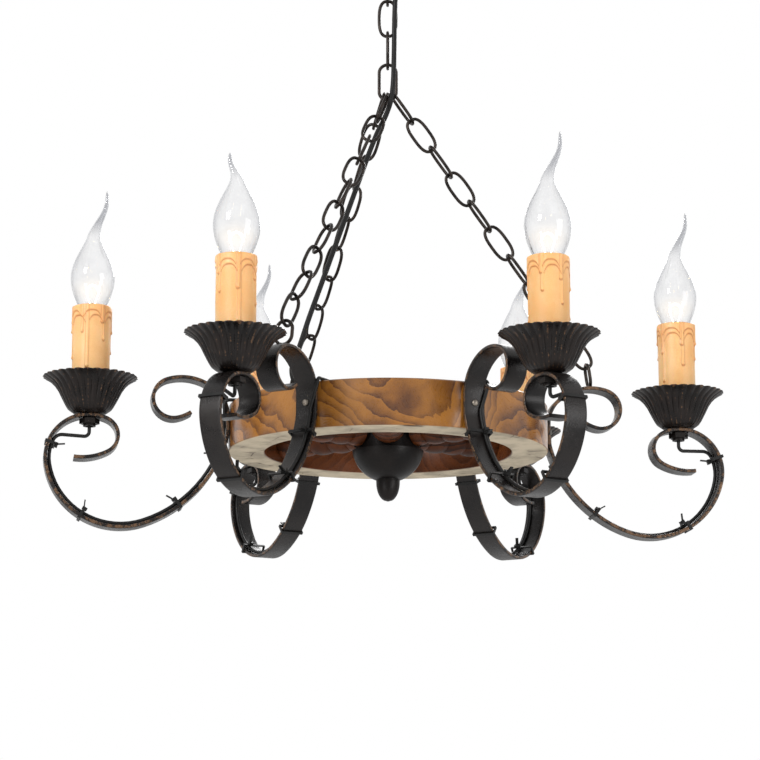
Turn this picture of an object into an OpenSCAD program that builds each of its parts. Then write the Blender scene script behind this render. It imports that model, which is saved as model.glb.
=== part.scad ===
// Wagon wheel chandelier: a wooden wheel with turned spokes, hung on three chain slings, and six
// flat iron scroll arms that each carry a fluted dish, a wax candle sleeve and a flame-tip lamp.
// The origin is the middle of the face that the ceiling bracket turns to the ceiling, with +Z up,
// so everything hangs below it.

/* [Ceiling mount] */
// Outer diameter of the canopy
canopy_diameter = 110; // [90:1:150]
// Depth of the canopy below the ceiling
canopy_depth = 28; // [22:1:40]
// Distance between the two ceiling screw holes
ceiling_hole_spacing = 60; // [40:1:70]
// Diameter of a ceiling screw hole
ceiling_hole = 5; // [4:0.5:6]
// Mean diameter of the ring under the canopy
loop_diameter = 18; // [16:0.5:24]

/* [Chain] */
// Wire thickness of a chain link
link_wire = 2.7; // [2.2:0.1:2.9]
// Outer length of a link
link_length = 33.3; // [30:0.1:40]
// Outer width of a link
link_width = 16.8; // [16.2:0.1:19]
// Links in each sling
sling_links = 10; // [9:1:13]
// Height of the eyes that the slings end in
eye_height = 21; // [19:0.5:28]

/* [Wheel] */
// Outer diameter of the wooden rim
rim_diameter = 256; // [240:1:290]
// Thickness of the rim, from outer wall to inner wall
rim_wall = 29; // [24:0.5:34]
// Height of the rim
rim_height = 37; // [34:0.5:44]
// Bevel along the rim's edges
rim_bevel = 1; // [0.5:0.1:2]
// Widest radius of a bead on a spoke
bead_radius = 14; // [12.5:0.1:14.5]
// Depth of the groove between two beads
groove_depth = 2.4; // [1.5:0.1:4]
// Length of one bead
bead_pitch = 17; // [14:0.5:20]
// Radius of the metal hub can
hub_radius = 26; // [25:0.2:30]
// Radius of the threaded lamp pipes
pipe_radius = 5; // [4.5:0.1:5.5]
// Radius of the finial
finial_radius = 9.5; // [8:0.1:11]
// Length of the finial
finial_length = 17.5; // [14:0.5:24]

/* [Arms] */
// Width of the iron strap
strap_width = 18; // [14:0.5:20]
// Thickness of the iron strap
strap_thickness = 3; // [2.5:0.1:4]
// Turn of the right arm about the wheel's middle, away from its even place
right_arm_turn = 7; // [0:1:10]
// Turn of the left arm about the wheel's middle, away from its even place
left_arm_turn = 9; // [0:1:10]
// Thickness of an arm's lamp wire
wire_thickness = 2.8; // [2.2:0.1:3.2]

/* [Lamps] */
// Radius of a dish at its rim
dish_radius = 38.2; // [34:0.2:44]
// Height of a dish
dish_height = 29; // [25:0.5:34]
// Thickness of a dish
dish_wall = 1.2; // [0.8:0.1:1.5]
// Flutes round a dish
dish_flutes = 30; // [20:1:36]
// Depth of the flutes at the dish's rim
flute_depth = 1.8; // [1:0.1:2.6]
// Radius of a candle sleeve
sleeve_radius = 15.3; // [14.8:0.1:15.6]
// Height of a candle sleeve
sleeve_height = 81; // [70:1:95]
// Widest radius of a lamp's glass
bulb_radius = 17.5; // [15:0.1:19]
// Height of the round part of a lamp's glass above the sleeve
bulb_height = 58; // [52:1:66]
// Height of the bent tail above the round part
tail_height = 38; // [25:1:50]

/* [Supply cord] */
// Diameter of the supply cord
cord_diameter = 4.2; // [3.6:0.1:4.8]

/* [Hidden] */
$fn = 64;
ARMS = [1, 2, 3, 4, 5, 6];
SLUNG_ARMS = [1, 3, 5];
MAIN_LINKS = [1, 2, 3, 4];

// Clearances: between pieces that pass through each other, and between wires that hang in each other.
fit_gap = 0.1;
wire_gap = 0.25;
eps = 0.01;

// Ceiling mount.
canopy_wall = 1.2;
canopy_band = 12;
canopy_flat = 20;
canopy_radius = canopy_diameter / 2;
bracket_length = 84;
bracket_width = 20;
bracket_sheet = 2;
bracket_tab = 12;
canopy_screw_radius = 1.9;
canopy_screw_z = -7;
loop_wire = 4;
collar_radius = 8;
collar_height = 4;
loop_centre_z = -canopy_depth - collar_height - loop_diameter / 2 - loop_wire / 2 + 1;
loop_bottom_z = loop_centre_z - loop_diameter / 2;

// Chain: a link is a loop of wire with round ends and straight sides.
wire_step = link_wire + wire_gap;
link_line = link_length - link_wire;
link_pitch = link_line - wire_step;
main_top_z = loop_bottom_z + (loop_wire + link_wire) / 2 + wire_gap;
main_bottom_z = main_top_z - (len(MAIN_LINKS) - 1) * link_pitch - link_line;
sling_reach = sling_links * link_line - (sling_links - 1) * wire_step;
// Where each sling's first bow crosses inside the lowest link, from the middle of its lower wire,
// and how far that bow is rolled: the three lie side by side and touch nothing.
sling_hooks = [
    [link_wire * 1.13, 0.1, wire_step * 1.93, -4],
    [-link_wire * 1.04, -0.5, wire_step * 1.84, -2],
    [0.1, 0.8, wire_step * 1.22, 2]
];

// Wheel: heights in the wheel's own frame count from the rim's lower face.
rim_radius = rim_diameter / 2;
rim_inner = rim_radius - rim_wall;
spoke_z = rim_height / 2;
tenon_radius = 5;
tenon_length = 8;
hub_wall = 1.2;
hub_top = rim_height + 6;
cover_sheet = 1.2;
cover_radius = hub_radius + 2.8;
cover_centre_z = 6;
cover_rim_z = 2.4;
rod_tail = 9;
cover_seat_z = cover_centre_z - sqrt(pow(cover_radius, 2) - pow(finial_radius + 0.5, 2));
pipe_bore = 3.2;
nut_radius = pipe_radius + 3;
nut_height = 4;

// Arms: each strap stands against the rim, curls out above it and swings out below it. The runs are
// lists of tangent arcs, [radius of the middle line, degrees of turn].
flat_top_z = rim_height - 11;
flat_length = 12;
flat_bottom_z = flat_top_z - flat_length;
strap_u = rim_radius + 0.3 + strap_thickness / 2;
crest_arcs = [[27, -47], [40, -43]];
curl_arcs = [[40, -18], [16, -176], [32, -20]];
sweep_arcs = [[25, 15], [100, 56], [59, 99], [34, 100]];
tail_arcs = [[34, 24], [14.5, 128], [45, 35]];
strap_step = 6;
crest_start = [strap_u, flat_top_z, 90];
sweep_start = [strap_u, flat_bottom_z, -90];
crest = follow(crest_start, crest_arcs);
arm_turns = [right_arm_turn, 60, 120, 180 + left_arm_turn, 241.5, 300];
// The arms are bent by hand, so their lower runs come out a little smaller or larger.
arm_sizes = [1, 0.95, 0.93, 1, 0.95, 0.95];
function drop_arcs(i) = [for (q = concat(sweep_arcs, tail_arcs)) [q[0] * arm_sizes[i - 1], q[1]]];
function seat(i) = follow_to(sweep_start, drop_arcs(i), len(sweep_arcs));
screw_z = (flat_top_z + flat_bottom_z) / 2;
screw_radius = 1.7;
screw_length = 24;
screw_head = 2.7;
wire_radius = wire_thickness / 2;
wire_offset = strap_thickness / 2 + wire_radius + fit_gap;
wire_side = strap_width / 2 + wire_radius + 0.4;
wire_lay = screw_head + wire_radius + 0.4;
wire_break = 0.02;
wire_top_z = rim_height + wire_radius;
wire_elbow = 4;
wire_leave = 35;
// Where the ties sit: [arc of the lower run, degrees along it].
tie_marks = [[1, 8], [1, 38], [2, 50], [3, 30]];
tie_width = 2.4;
tie_sheet = 1;
tie_head = 4;
tie_tail = 8;

// The wheel hangs where the longest sling brings it.
eye_lean = 8;
eye_sink = 0.4;
eye_top = [
    crest[0] - (eye_height - link_wire / 2) * sin(eye_lean),
    0,
    crest[1] + strap_thickness / 2 + (eye_height - link_wire / 2) * cos(eye_lean)
];
hook_reach = [for (k = [0:2]) norm(eye_plan(k) - plan(sling_hooks[k]))];
sling_span = sling_reach - wire_step;
sling_drop = min([for (k = [0:2]) sqrt(pow(sling_span, 2) - pow(hook_reach[k], 2)) - sling_hooks[k][2]]);
wheel_z = main_bottom_z - sling_drop - eye_top[2];

// Lamps: heights in a lamp's own frame count from the top of the strap.
dish_outline = [[0, 0.33], [0.12, 0.46], [0.3, 0.545], [0.62, 0.67], [0.87, 0.83], [1, 1]];
dish_hole = pipe_radius + 0.3;
sleeve_bore = sleeve_radius - 1.6;
sleeve_base_z = 5.2;
sleeve_top_z = sleeve_base_z + sleeve_height;
sleeve_turn = 47;
lip_height = 5;
lip_overhang = 0.7;
// Wax runs down a sleeve: [direction, length, radius].
sleeve_runs = [
    [0, 22, 1.7], [38, 11, 1.4], [62, 34, 1.8], [105, 9, 1.3], [140, 26, 1.6],
    [172, 15, 1.5], [205, 42, 1.8], [243, 12, 1.4], [275, 30, 1.7], [318, 17, 1.5]
];
holder_base_z = 1.8 + dish_wall + 0.4;
holder_radius = sleeve_bore - 0.6;
holder_column = 7.5;
holder_foot = 11.5;
socket_bore = 7.25;
cap_length = 26;
cap_top_z = sleeve_top_z - 11.2;
cap_root = 6.35;
thread_bead = 0.6;
thread_pitch = 2.82;
socket_top_z = cap_top_z - 1;
socket_floor_z = cap_top_z - cap_length - 1.8;
pipe_top_z = holder_base_z + 8;
nut_seat_radius = sweep_arcs[3][0] * min(arm_sizes) - strap_thickness / 2;
nut_seat_z = -strap_thickness - nut_seat_radius + sqrt(pow(nut_seat_radius, 2) - pow(nut_radius, 2));
pipe_bottom_z = nut_seat_z - nut_height - 2;
glass_base_z = cap_top_z + 0.3;
glass_wall = 0.8;
glass_neck = 6.4;
glass_tip = 5.2;
filament_wire = 0.35;
tail_bend = 10;
belly_z = sleeve_top_z + bulb_height * 0.41;
shoulder_z = sleeve_top_z + bulb_height;
glass_steps = 9;
// Each lamp's tail: the way it leans, and its share of the full height.
tail_turns = [0, 0, 0, 0, 180, 0];
tail_shares = [1, 1, 1, 1, 0.55, 1];

// The cord runs from the canopy down beside the main chain, in between the slings, straight to the
// spokes at the left and in to the hub. Points chosen by hand, in millimetres.
cord_points = [
    [12, -8, -30], [11.5, -8, -38], [10, -7.8, -47], [8.3, -7.5, -57], [7, -7.2, -67],
    [6.2, -7, -78], [5.8, -7, -89], [5.5, -7, -100], [5.4, -7.2, -111], [5.2, -8, -122],
    [5, -9.1, -133], [4.7, -10.1, -144], [4, -10, -154], [2.7, -8, -163], [0.1, -5.1, -171],
    [-3.4, -2.8, -179], [-8, -2, -188], [-12.2, -4, -199], [-18, -7.5, -216], [-25.5, -12.5, -239],
    [-33, -17.5, -262], [-40.5, -22.5, -285], [-48, -27.5, -308], [-55.5, -32.5, -331],
    [-63, -37.5, -354], [-69.5, -42, -376], [-74.9, -45.5, -392.4], [-75.8, -46.4, -399.2],
    [-74.2, -46.4, -405.9], [-70.3, -45.4, -411.6], [-64.8, -43.6, -415.4], [-58.5, -41.2, -416.7],
    [-49, -37.5, -416.7], [-40, -34, -416.7], [-31, -30.5, -416.7], [-24, -27, -416.7],
    [-18, -23, -416.7]
];
cord_end = [6, 4, 0];
cord_sides = 8;
cord_grip = 0.3;
grommet_neck = cord_diameter / 2 + 1.4;
grommet_flange = 1.6;

// ---------------------------------------------------------------- helpers

// A point [u, z, heading] after one arc in an arm's plane: a positive turn goes left.
function arc_end(p, r, a) =
    let (s = sign(a), k = p[2] + a)
    [p[0] + s * r * (sin(k) - sin(p[2])), p[1] - s * r * (cos(k) - cos(p[2])), k];

// The point after a whole run of arcs.
function follow(p, arcs, i = 0) =
    i == len(arcs) ? p : follow(arc_end(p, arcs[i][0], arcs[i][1]), arcs, i + 1);

// The point after the first n arcs of a run.
function follow_to(p, arcs, n) =
    n == 0 ? p : let (q = follow_to(p, arcs, n - 1)) arc_end(q, arcs[n - 1][0], arcs[n - 1][1]);

function unit(v) = v / norm(v);
function plan(v) = [v[0], v[1]];
function turned(v, a) = [v[0] * cos(a) - v[1] * sin(a), v[0] * sin(a) + v[1] * cos(a), v[2]];

// A sling's eye in plan and in the whole object's frame.
function eye_plan(k) = plan(turned(eye_top, arm_turns[SLUNG_ARMS[k] - 1]));
function eye_point(k) = turned(eye_top, arm_turns[SLUNG_ARMS[k] - 1]) + [0, 0, wheel_z];
function hook_point(k) = [sling_hooks[k][0], sling_hooks[k][1], sling_hooks[k][2] + main_bottom_z];

module at_wheel() {
    translate([0, 0, wheel_z]) children();
}

module at_arm(i) {
    at_wheel() rotate([0, 0, arm_turns[i - 1]]) children();
}

module at_lamp(i) {
    at_arm(i) translate([seat(i)[0], 0, seat(i)[1] + strap_thickness / 2]) children();
}

// A ring sector in the XZ plane, swept from the section given as a child at that radius.
module sector(centre_x, centre_z, start, sweep) {
    translate([centre_x, 0, centre_z]) rotate([90, 0, 0]) rotate([0, 0, start])
        rotate_extrude(angle = sweep) children();
}

// One arc of a run, with the child as its section.
module run_arc(p, r, a) {
    k = p[2] + a;
    first = a > 0 ? p[2] - 90 : k + 90;
    cx = a > 0 ? p[0] - r * sin(p[2]) : p[0] + r * sin(p[2]);
    cz = a > 0 ? p[1] + r * cos(p[2]) : p[1] - r * cos(p[2]);
    sector(cx, cz, first, abs(a)) children();
}

// Points along one face of a strap that follows a run of arcs: side is 1 on the left, -1 on the right.
function face_point(p, side) = [p[0], p[1]] + side * strap_thickness / 2 * [-sin(p[2]), cos(p[2])];
function strap_face(p, arcs, side) = concat(
    [face_point(p, side)],
    [for (i = [0 : len(arcs) - 1])
        let (q = follow_to(p, arcs, i), r = arcs[i][0], a = arcs[i][1], steps = ceil(abs(a) / strap_step))
        for (k = [1 : steps]) face_point(arc_end(q, r, a * k / steps), side)]
);
function reversed(list) = [for (i = [len(list) - 1 : -1 : 0]) list[i]];

module rod(from, to, r) {
    d = to - from;
    turn = atan2(d[1], d[0]);
    tilt = acos(d[2] / norm(d));
    translate(from) rotate([0, tilt, turn]) cylinder(h = norm(d), r = r);
}

// A loop of round wire in the XZ plane, long way up: straight sides between two half rings.
module wire_loop(length, width, wire) {
    bend = (width - wire) / 2;
    side = length - width;
    for (s = [0, 180]) rotate([0, s, 0]) {
        sector(0, side / 2, 0, 180) translate([bend, 0]) circle(r = wire / 2);
        translate([bend, 0, -side / 2]) cylinder(h = side, r = wire / 2);
    }
}

module link() {
    wire_loop(link_length, link_width, link_wire);
}

module tube(r, bore, h) {
    difference() {
        cylinder(h = h, r = r);
        translate([0, 0, -eps]) cylinder(h = h + 2 * eps, r = bore);
    }
}

module hex_nut(h) {
    difference() {
        cylinder(h = h, r = nut_radius, $fn = 6);
        translate([0, 0, -eps]) cylinder(h = h + 2 * eps, r = pipe_radius);
    }
}

// A tube or a dish from rings of points: skin joins each ring to the next.
function ring_faces(n, rings, closed) = [
    for (j = [0 : rings - (closed ? 1 : 2)]) for (i = [0 : n - 1])
        let (a = j * n, b = ((j + 1) % rings) * n, k = (i + 1) % n)
        each [[a + i, b + i, b + k], [a + i, b + k, a + k]]
];

// ---------------------------------------------------------------- ceiling mount

module ceiling_bracket() {
    tab_x = bracket_length / 2;
    color("silver") difference() {
        union() {
            translate([-tab_x, -bracket_width / 2, -bracket_sheet])
                cube([bracket_length, bracket_width, bracket_sheet]);
            for (x = [-tab_x, tab_x - bracket_sheet])
                translate([x, -bracket_width / 2, -bracket_tab])
                    cube([bracket_sheet, bracket_width, bracket_tab]);
        }
        translate([0, 0, -bracket_sheet - 1]) cylinder(h = bracket_sheet + 2, r = pipe_radius + fit_gap);
        for (s = [-1, 1]) translate([s * ceiling_hole_spacing / 2, 0, -bracket_sheet - 1])
            cylinder(h = bracket_sheet + 2, r = ceiling_hole / 2);
        rotate([0, 90, 0]) translate([-canopy_screw_z, 0, -tab_x - 1])
            cylinder(h = bracket_length + 2, r = canopy_screw_radius + fit_gap);
    }
}

module canopy() {
    spread = pow(canopy_radius, 2) - pow(canopy_flat, 2);
    rise = pow(canopy_band, 2) - pow(canopy_depth, 2);
    dome_centre_z = (spread + rise) / (2 * (canopy_depth - canopy_band));
    dome_radius = sqrt(pow(canopy_radius, 2) + pow(canopy_band + dome_centre_z, 2));
    color([0.16, 0.13, 0.12]) difference() {
        union() {
            translate([0, 0, -canopy_band]) cylinder(h = canopy_band, r = canopy_radius);
            intersection() {
                translate([0, 0, dome_centre_z]) sphere(r = dome_radius);
                translate([0, 0, -canopy_depth])
                    cylinder(h = canopy_depth - canopy_band + eps, r = canopy_radius);
            }
        }
        translate([0, 0, -canopy_band]) cylinder(h = canopy_band + 1, r = canopy_radius - canopy_wall);
        intersection() {
            translate([0, 0, dome_centre_z]) sphere(r = dome_radius - canopy_wall);
            translate([0, 0, -canopy_depth + canopy_wall])
                cylinder(h = canopy_depth - canopy_wall - canopy_band + eps, r = canopy_radius - canopy_wall);
        }
        translate([0, 0, -canopy_depth - 1]) cylinder(h = canopy_wall + 2, r = pipe_radius + fit_gap);
        translate([cord_points[0][0], cord_points[0][1], -canopy_depth - 1])
            cylinder(h = canopy_wall + 2, r = grommet_neck + fit_gap);
        rotate([0, 90, 0]) translate([-canopy_screw_z, 0, -canopy_radius - 1])
            cylinder(h = canopy_diameter + 2, r = canopy_screw_radius + fit_gap);
    }
}

// A bush in the canopy's hole: its neck passes through the sheet and its flange lies below.
module cord_grommet() {
    flange = -canopy_depth - cord_points[0][2];
    color([0.12, 0.11, 0.1]) translate(cord_points[0]) difference() {
        union() {
            cylinder(h = flange, r = grommet_neck + grommet_flange);
            cylinder(h = flange + canopy_wall + 1, r = grommet_neck);
        }
        translate([0, 0, -eps]) cylinder(h = canopy_depth, r = cord_diameter / 2 - cord_grip);
    }
}

module canopy_loop() {
    color([0.2, 0.16, 0.14]) {
        difference() {
            union() {
                translate([0, 0, -canopy_depth]) cylinder(h = canopy_depth - 0.5, r = pipe_radius);
                translate([0, 0, -canopy_depth - collar_height])
                    cylinder(h = collar_height, r = collar_radius);
                translate([0, 0, loop_centre_z]) rotate([90, 0, 0]) rotate_extrude()
                    translate([loop_diameter / 2, 0]) circle(r = loop_wire / 2);
            }
            translate([0, 0, -canopy_depth + 2]) cylinder(h = canopy_depth, r = pipe_bore);
        }
        translate([0, 0, -bracket_sheet - nut_height]) hex_nut(nut_height);
    }
}

module canopy_screws() {
    color("gainsboro") for (s = [0, 180]) rotate([0, 0, s]) translate([canopy_radius, 0, canopy_screw_z]) {
        rotate([0, -90, 0]) cylinder(h = canopy_radius - bracket_length / 2 + 4, r = canopy_screw_radius);
        round_head(canopy_screw_radius * 1.9, canopy_screw_radius * 1.3);
    }
}

// The round head of a screw that points along -X, seated at the origin.
module round_head(r, h) {
    steps = 8;
    rotate([0, 90, 0]) rotate_extrude() polygon(concat(
        [[0, 0]],
        [for (k = [0 : steps]) [r * cos(90 * k / steps), h * (0.15 + 0.85 * sin(90 * k / steps))]]
    ));
}

// ---------------------------------------------------------------- chain

module main_link(i) {
    down = len(MAIN_LINKS) - i;
    color([0.24, 0.2, 0.18]) translate([0, 0, main_top_z - down * link_pitch - link_line / 2])
        rotate([0, 0, i % 2 == 1 ? 0 : 90]) link();
}

// A sling's links lie on the line from its hook to its eye. The first bow is rolled to lie beside
// its neighbours, and the chain twists evenly until the last link crosses the eye squarely.
module sling(k) {
    eye = eye_point(k);
    top = hook_point(k);
    d = unit(eye - top);
    end = eye + d * wire_step;
    across = unit([0, 1, 0] - d * d[1]);
    beside = cross(d, across);
    side = turned([0, 1, 0], arm_turns[SLUNG_ARMS[k] - 1]);
    roll = sling_hooks[k][3];
    turn = atan2(side * beside, side * across) - roll - (sling_links % 2) * 90;
    twist = turn - 180 * round(turn / 180);
    pitch = (norm(end - top) - link_line) / (sling_links - 1);
    color([0.24, 0.2, 0.18]) for (i = [0 : sling_links - 1]) {
        a = roll + i * twist / sling_links + (i % 2) * 90;
        x = across * cos(a) + beside * sin(a);
        y = cross(-d, x);
        at = top + d * (link_line / 2 + i * pitch);
        multmatrix([
            [x[0], y[0], -d[0], at[0]],
            [x[1], y[1], -d[1], at[1]],
            [x[2], y[2], -d[2], at[2]]
        ]) link();
    }
}

module chain_eyes() {
    color([0.24, 0.2, 0.18]) for (i = SLUNG_ARMS) at_arm(i)
        translate([crest[0], 0, crest[1] + strap_thickness / 2]) difference() {
            rotate([0, -eye_lean, 0]) rotate([0, 0, 90]) translate([0, 0, eye_height / 2 - eye_sink])
                wire_loop(eye_height + 2 * eye_sink, link_width, link_wire);
            translate([-link_width, -link_width, -link_wire])
                cube([2 * link_width, 2 * link_width, link_wire]);
        }
}

// ---------------------------------------------------------------- wheel

module wheel_rim() {
    inner = rim_inner;
    outer = rim_radius;
    h = rim_height;
    b = rim_bevel;
    color([0.62, 0.36, 0.13]) at_wheel() difference() {
        rotate_extrude($fn = 96) polygon([
            [inner + b, 0], [outer - b, 0], [outer, b], [outer, h - b],
            [outer - b, h], [inner + b, h], [inner, h - b], [inner, b]
        ]);
        for (i = ARMS) rotate([0, 0, arm_turns[i - 1]]) translate([rim_radius + 1, 0, screw_z])
            rotate([0, -90, 0]) cylinder(h = screw_length, r = screw_radius + fit_gap);
        for (i = ARMS) at_spoke(i) translate([0, 0, rim_inner - 1])
            cylinder(h = tenon_length + 2, r = tenon_radius + fit_gap);
    }
}

// Turns +Z out along a spoke's line.
module at_spoke(i) {
    rotate([0, 0, i * 60 - 30]) translate([0, 0, spoke_z]) rotate([0, 90, 0]) children();
}

// A turned spoke: beads in a row, each a smooth swelling between two grooves, and a round tenon at
// each end.
module spoke(i) {
    start = hub_radius + 0.2;
    stop = sqrt(pow(rim_inner, 2) - pow(bead_radius, 2)) - 0.1;
    steps = 36;
    reach = [for (k = [0 : steps]) start + (stop - start) * k / steps];
    function turned_radius(x) = bead_radius - groove_depth
        + groove_depth * sqrt(abs(sin(180 * (x - start) / bead_pitch + 85)));
    color([0.55, 0.28, 0.1]) at_wheel() at_spoke(i) {
        rotate_extrude() polygon(concat(
            [[0, start]],
            [for (x = reach) [turned_radius(x), x]],
            [[0, stop]]
        ));
        translate([0, 0, start - 6]) cylinder(h = 7, r = tenon_radius);
        translate([0, 0, stop - 1]) cylinder(h = rim_inner + tenon_length - stop, r = tenon_radius);
    }
}

module hub() {
    gland = cord_points[len(cord_points) - 1] - [0, 0, wheel_z];
    color([0.14, 0.12, 0.11]) at_wheel() difference() {
        union() {
            cylinder(h = hub_top, r = hub_radius);
            rod(gland, gland + cord_end, cord_diameter / 2 + 1.2);
        }
        translate([0, 0, -eps]) cylinder(h = hub_top - hub_wall, r = hub_radius - hub_wall);
        rod(gland - cord_end, gland + 2 * cord_end, cord_diameter / 2 - cord_grip);
        cylinder(h = hub_top + 1, r = pipe_radius + fit_gap);
        for (i = ARMS) at_spoke(i) cylinder(h = hub_radius + 1, r = tenon_radius + fit_gap);
        for (i = ARMS) rotate([0, 0, arm_turns[i - 1]]) translate([0, wire_side, wire_top_z])
            rotate([0, 90, 0]) cylinder(h = hub_radius + 1, r = wire_radius + fit_gap);
    }
}

module hub_cover() {
    color([0.14, 0.12, 0.11]) at_wheel() difference() {
        intersection() {
            translate([0, 0, cover_centre_z]) sphere(r = cover_radius, $fn = 96);
            translate([0, 0, cover_seat_z]) cylinder(h = cover_rim_z - cover_seat_z, r = cover_radius + 1);
        }
        intersection() {
            translate([0, 0, cover_centre_z]) sphere(r = cover_radius - cover_sheet, $fn = 96);
            translate([0, 0, cover_seat_z + cover_sheet])
                cylinder(h = cover_rim_z - cover_seat_z, r = cover_radius + 1);
        }
        translate([0, 0, cover_seat_z - 1]) cylinder(h = cover_sheet + 2, r = pipe_radius + fit_gap);
    }
}

// A bullet with an even taper into its round tip.
module finial() {
    steps = 16;
    color([0.16, 0.12, 0.1]) at_wheel() translate([0, 0, cover_seat_z]) difference() {
        rotate_extrude() polygon(concat(
            [[0, 0], [finial_radius, 0]],
            [for (k = [1 : steps]) let (t = k / steps)
                [finial_radius * pow(1 - pow(t, 2.4), 0.5) + (k == steps ? 0.01 : 0), -finial_length * t]],
            [[0, -finial_length]]
        ));
        translate([0, 0, -rod_tail - 1]) cylinder(h = rod_tail + 2, r = pipe_radius + fit_gap);
    }
}

module hub_rod() {
    color("silver") at_wheel() {
        difference() {
            translate([0, 0, cover_seat_z - rod_tail])
                cylinder(h = hub_top + nut_height + 3 + rod_tail - cover_seat_z, r = pipe_radius);
            translate([0, 0, cover_seat_z - rod_tail - 1])
                cylinder(h = hub_top + nut_height + 20 + rod_tail - cover_seat_z, r = pipe_bore);
        }
        translate([0, 0, hub_top]) hex_nut(nut_height);
        translate([0, 0, cover_seat_z + cover_sheet]) hex_nut(nut_height);
    }
}

// ---------------------------------------------------------------- arms

// One strap: its outline runs from the tip of the upper scroll to the tip of the tail and back.
module arm(i) {
    scroll_arcs = concat(crest_arcs, curl_arcs);
    color([0.2, 0.15, 0.12]) at_arm(i) difference() {
        rotate([90, 0, 0]) linear_extrude(strap_width, center = true) polygon(concat(
            reversed(strap_face(crest_start, scroll_arcs, 1)),
            strap_face(sweep_start, drop_arcs(i), -1),
            reversed(strap_face(sweep_start, drop_arcs(i), 1)),
            strap_face(crest_start, scroll_arcs, -1)
        ));
        translate([strap_u - strap_thickness, 0, screw_z]) rotate([0, 90, 0])
            cylinder(h = 2 * strap_thickness, r = screw_radius + fit_gap);
        translate([seat(i)[0], 0, seat(i)[1] - 2 * strap_thickness])
            cylinder(h = 4 * strap_thickness, r = pipe_radius + fit_gap);
    }
}

module arm_screws() {
    color("dimgray") for (i = ARMS) at_arm(i) translate([strap_u + strap_thickness / 2, 0, screw_z]) {
        rotate([0, -90, 0]) cylinder(h = screw_length - 2, r = screw_radius);
        round_head(screw_head, 2);
    }
}

// The heading of the straight stretch between a left bend and a right bend that join p to q.
function ease_heading(p, q, r1, r2) =
    let (d = [q[0] + r2 * sin(q[2]) - p[0] + r1 * sin(p[2]), q[1] - r2 * cos(q[2]) - p[1] - r1 * cos(p[2])])
    atan2(d[1], d[0]) + asin((r1 + r2) / norm(d));

// One bend of the wire. Its ends stop a hair short, so that neighbouring stretches stay true bends.
module wire_bend(p, r, a) {
    run_arc(p, r, a - sign(a) * wire_break / r * 57.3) translate([r, 0]) circle(r = wire_radius);
}

module wire_straight(p, q) {
    along = unit([q[0] - p[0], 0, q[1] - p[1]]) * wire_break / 2;
    rod([p[0], 0, p[1]] + along, [q[0], 0, q[1]] - along, wire_radius);
}

module wire_ease(p, q, r1, r2) {
    k = ease_heading(p, q, r1, r2);
    turn_end = arc_end(p, r1, k - p[2]);
    turn_start = [q[0] + r2 * (sin(q[2]) - sin(k)), q[1] - r2 * (cos(q[2]) - cos(k)), k];
    wire_bend(p, r1, k - p[2]);
    wire_straight(turn_end, turn_start);
    wire_bend(turn_start, r2, q[2] - k);
}

// A lamp's wire comes out of the hub, lies over the rim beside the strap, drops, moves over onto the
// strap's hollow side, follows it past the ties and turns up into the pipe under the lamp.
module arm_wire(i) {
    foot = seat(i);
    arcs = drop_arcs(i);
    face_u = strap_u + wire_offset;
    elbow = [face_u - wire_elbow, wire_top_z, 0];
    start = [face_u, flat_bottom_z, -90];
    lead = [for (k = [0 : 2]) [arcs[k][0] - wire_offset, arcs[k][1]]];
    lift = follow(start, lead);
    lift_radius = arcs[3][0] - wire_offset;
    leave = arc_end(lift, lift_radius, wire_leave);
    pipe_end = [foot[0], foot[1] + strap_thickness / 2 + pipe_bottom_z, 90];
    swing = atan2(wire_lay, leave[0] - foot[0]);
    hub_end = sqrt(pow(hub_radius - hub_wall, 2) - pow(wire_side, 2)) - 1;
    translate([0, wire_side, 0]) {
        wire_straight([hub_end, wire_top_z], elbow);
        wire_bend(elbow, wire_elbow, -90);
    }
    translate([face_u, 0, 0]) rotate([0, 0, -90])
        wire_ease([-wire_side, wire_top_z - wire_elbow, -90], [-wire_lay, flat_bottom_z, -90],
            wire_elbow, wire_elbow);
    translate([0, wire_lay, 0]) {
        for (k = [0 : 2]) wire_bend(follow_to(start, lead, k), lead[k][0], lead[k][1]);
        wire_bend(lift, lift_radius, wire_leave);
    }
    translate([foot[0], 0, 0]) rotate([0, 0, swing]) translate([-foot[0], 0, 0]) {
        wire_ease([foot[0] + (leave[0] - foot[0]) / cos(swing), leave[1] + 0.15, leave[2]],
            pipe_end - [0, wire_elbow, 0], 2 * wire_elbow, wire_elbow);
        wire_straight(pipe_end - [0, wire_elbow, 0], pipe_end + [0, wire_elbow, 0]);
    }
}

module arm_wires() {
    color([0.08, 0.08, 0.08]) for (i = ARMS) at_arm(i) arm_wire(i);
}

// A tie round strap and wire, its head on the hollow side with the cut tail standing inwards.
module cable_tie(p) {
    low = -strap_thickness / 2 - fit_gap;
    high = strap_thickness / 2 + 2 * wire_radius + 2 * fit_gap;
    half = strap_width / 2 + 2 * fit_gap;
    translate([p[0], 0, p[1]]) rotate([0, -p[2], 0]) {
        difference() {
            translate([-tie_width / 2, -half - tie_sheet, low - tie_sheet])
                cube([tie_width, 2 * (half + tie_sheet), high - low + 2 * tie_sheet]);
            translate([-tie_width, -half, low]) cube([2 * tie_width, 2 * half, high - low]);
        }
        translate([-tie_head / 2, tie_head / 2, high + tie_sheet - eps])
            cube([tie_head, tie_head, tie_width]);
        translate([0, tie_head, high + tie_sheet]) rotate([0, 25, 0])
            translate([-tie_sheet / 2, -tie_width / 2, 0]) cube([tie_sheet, tie_width, tie_tail]);
    }
}

module cable_ties() {
    color([0.07, 0.07, 0.07]) for (i = ARMS) at_arm(i) for (m = tie_marks)
        cable_tie(arc_end(follow_to(sweep_start, drop_arcs(i), m[0]), drop_arcs(i)[m[0]][0], m[1]));
}

// ---------------------------------------------------------------- lamps

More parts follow.
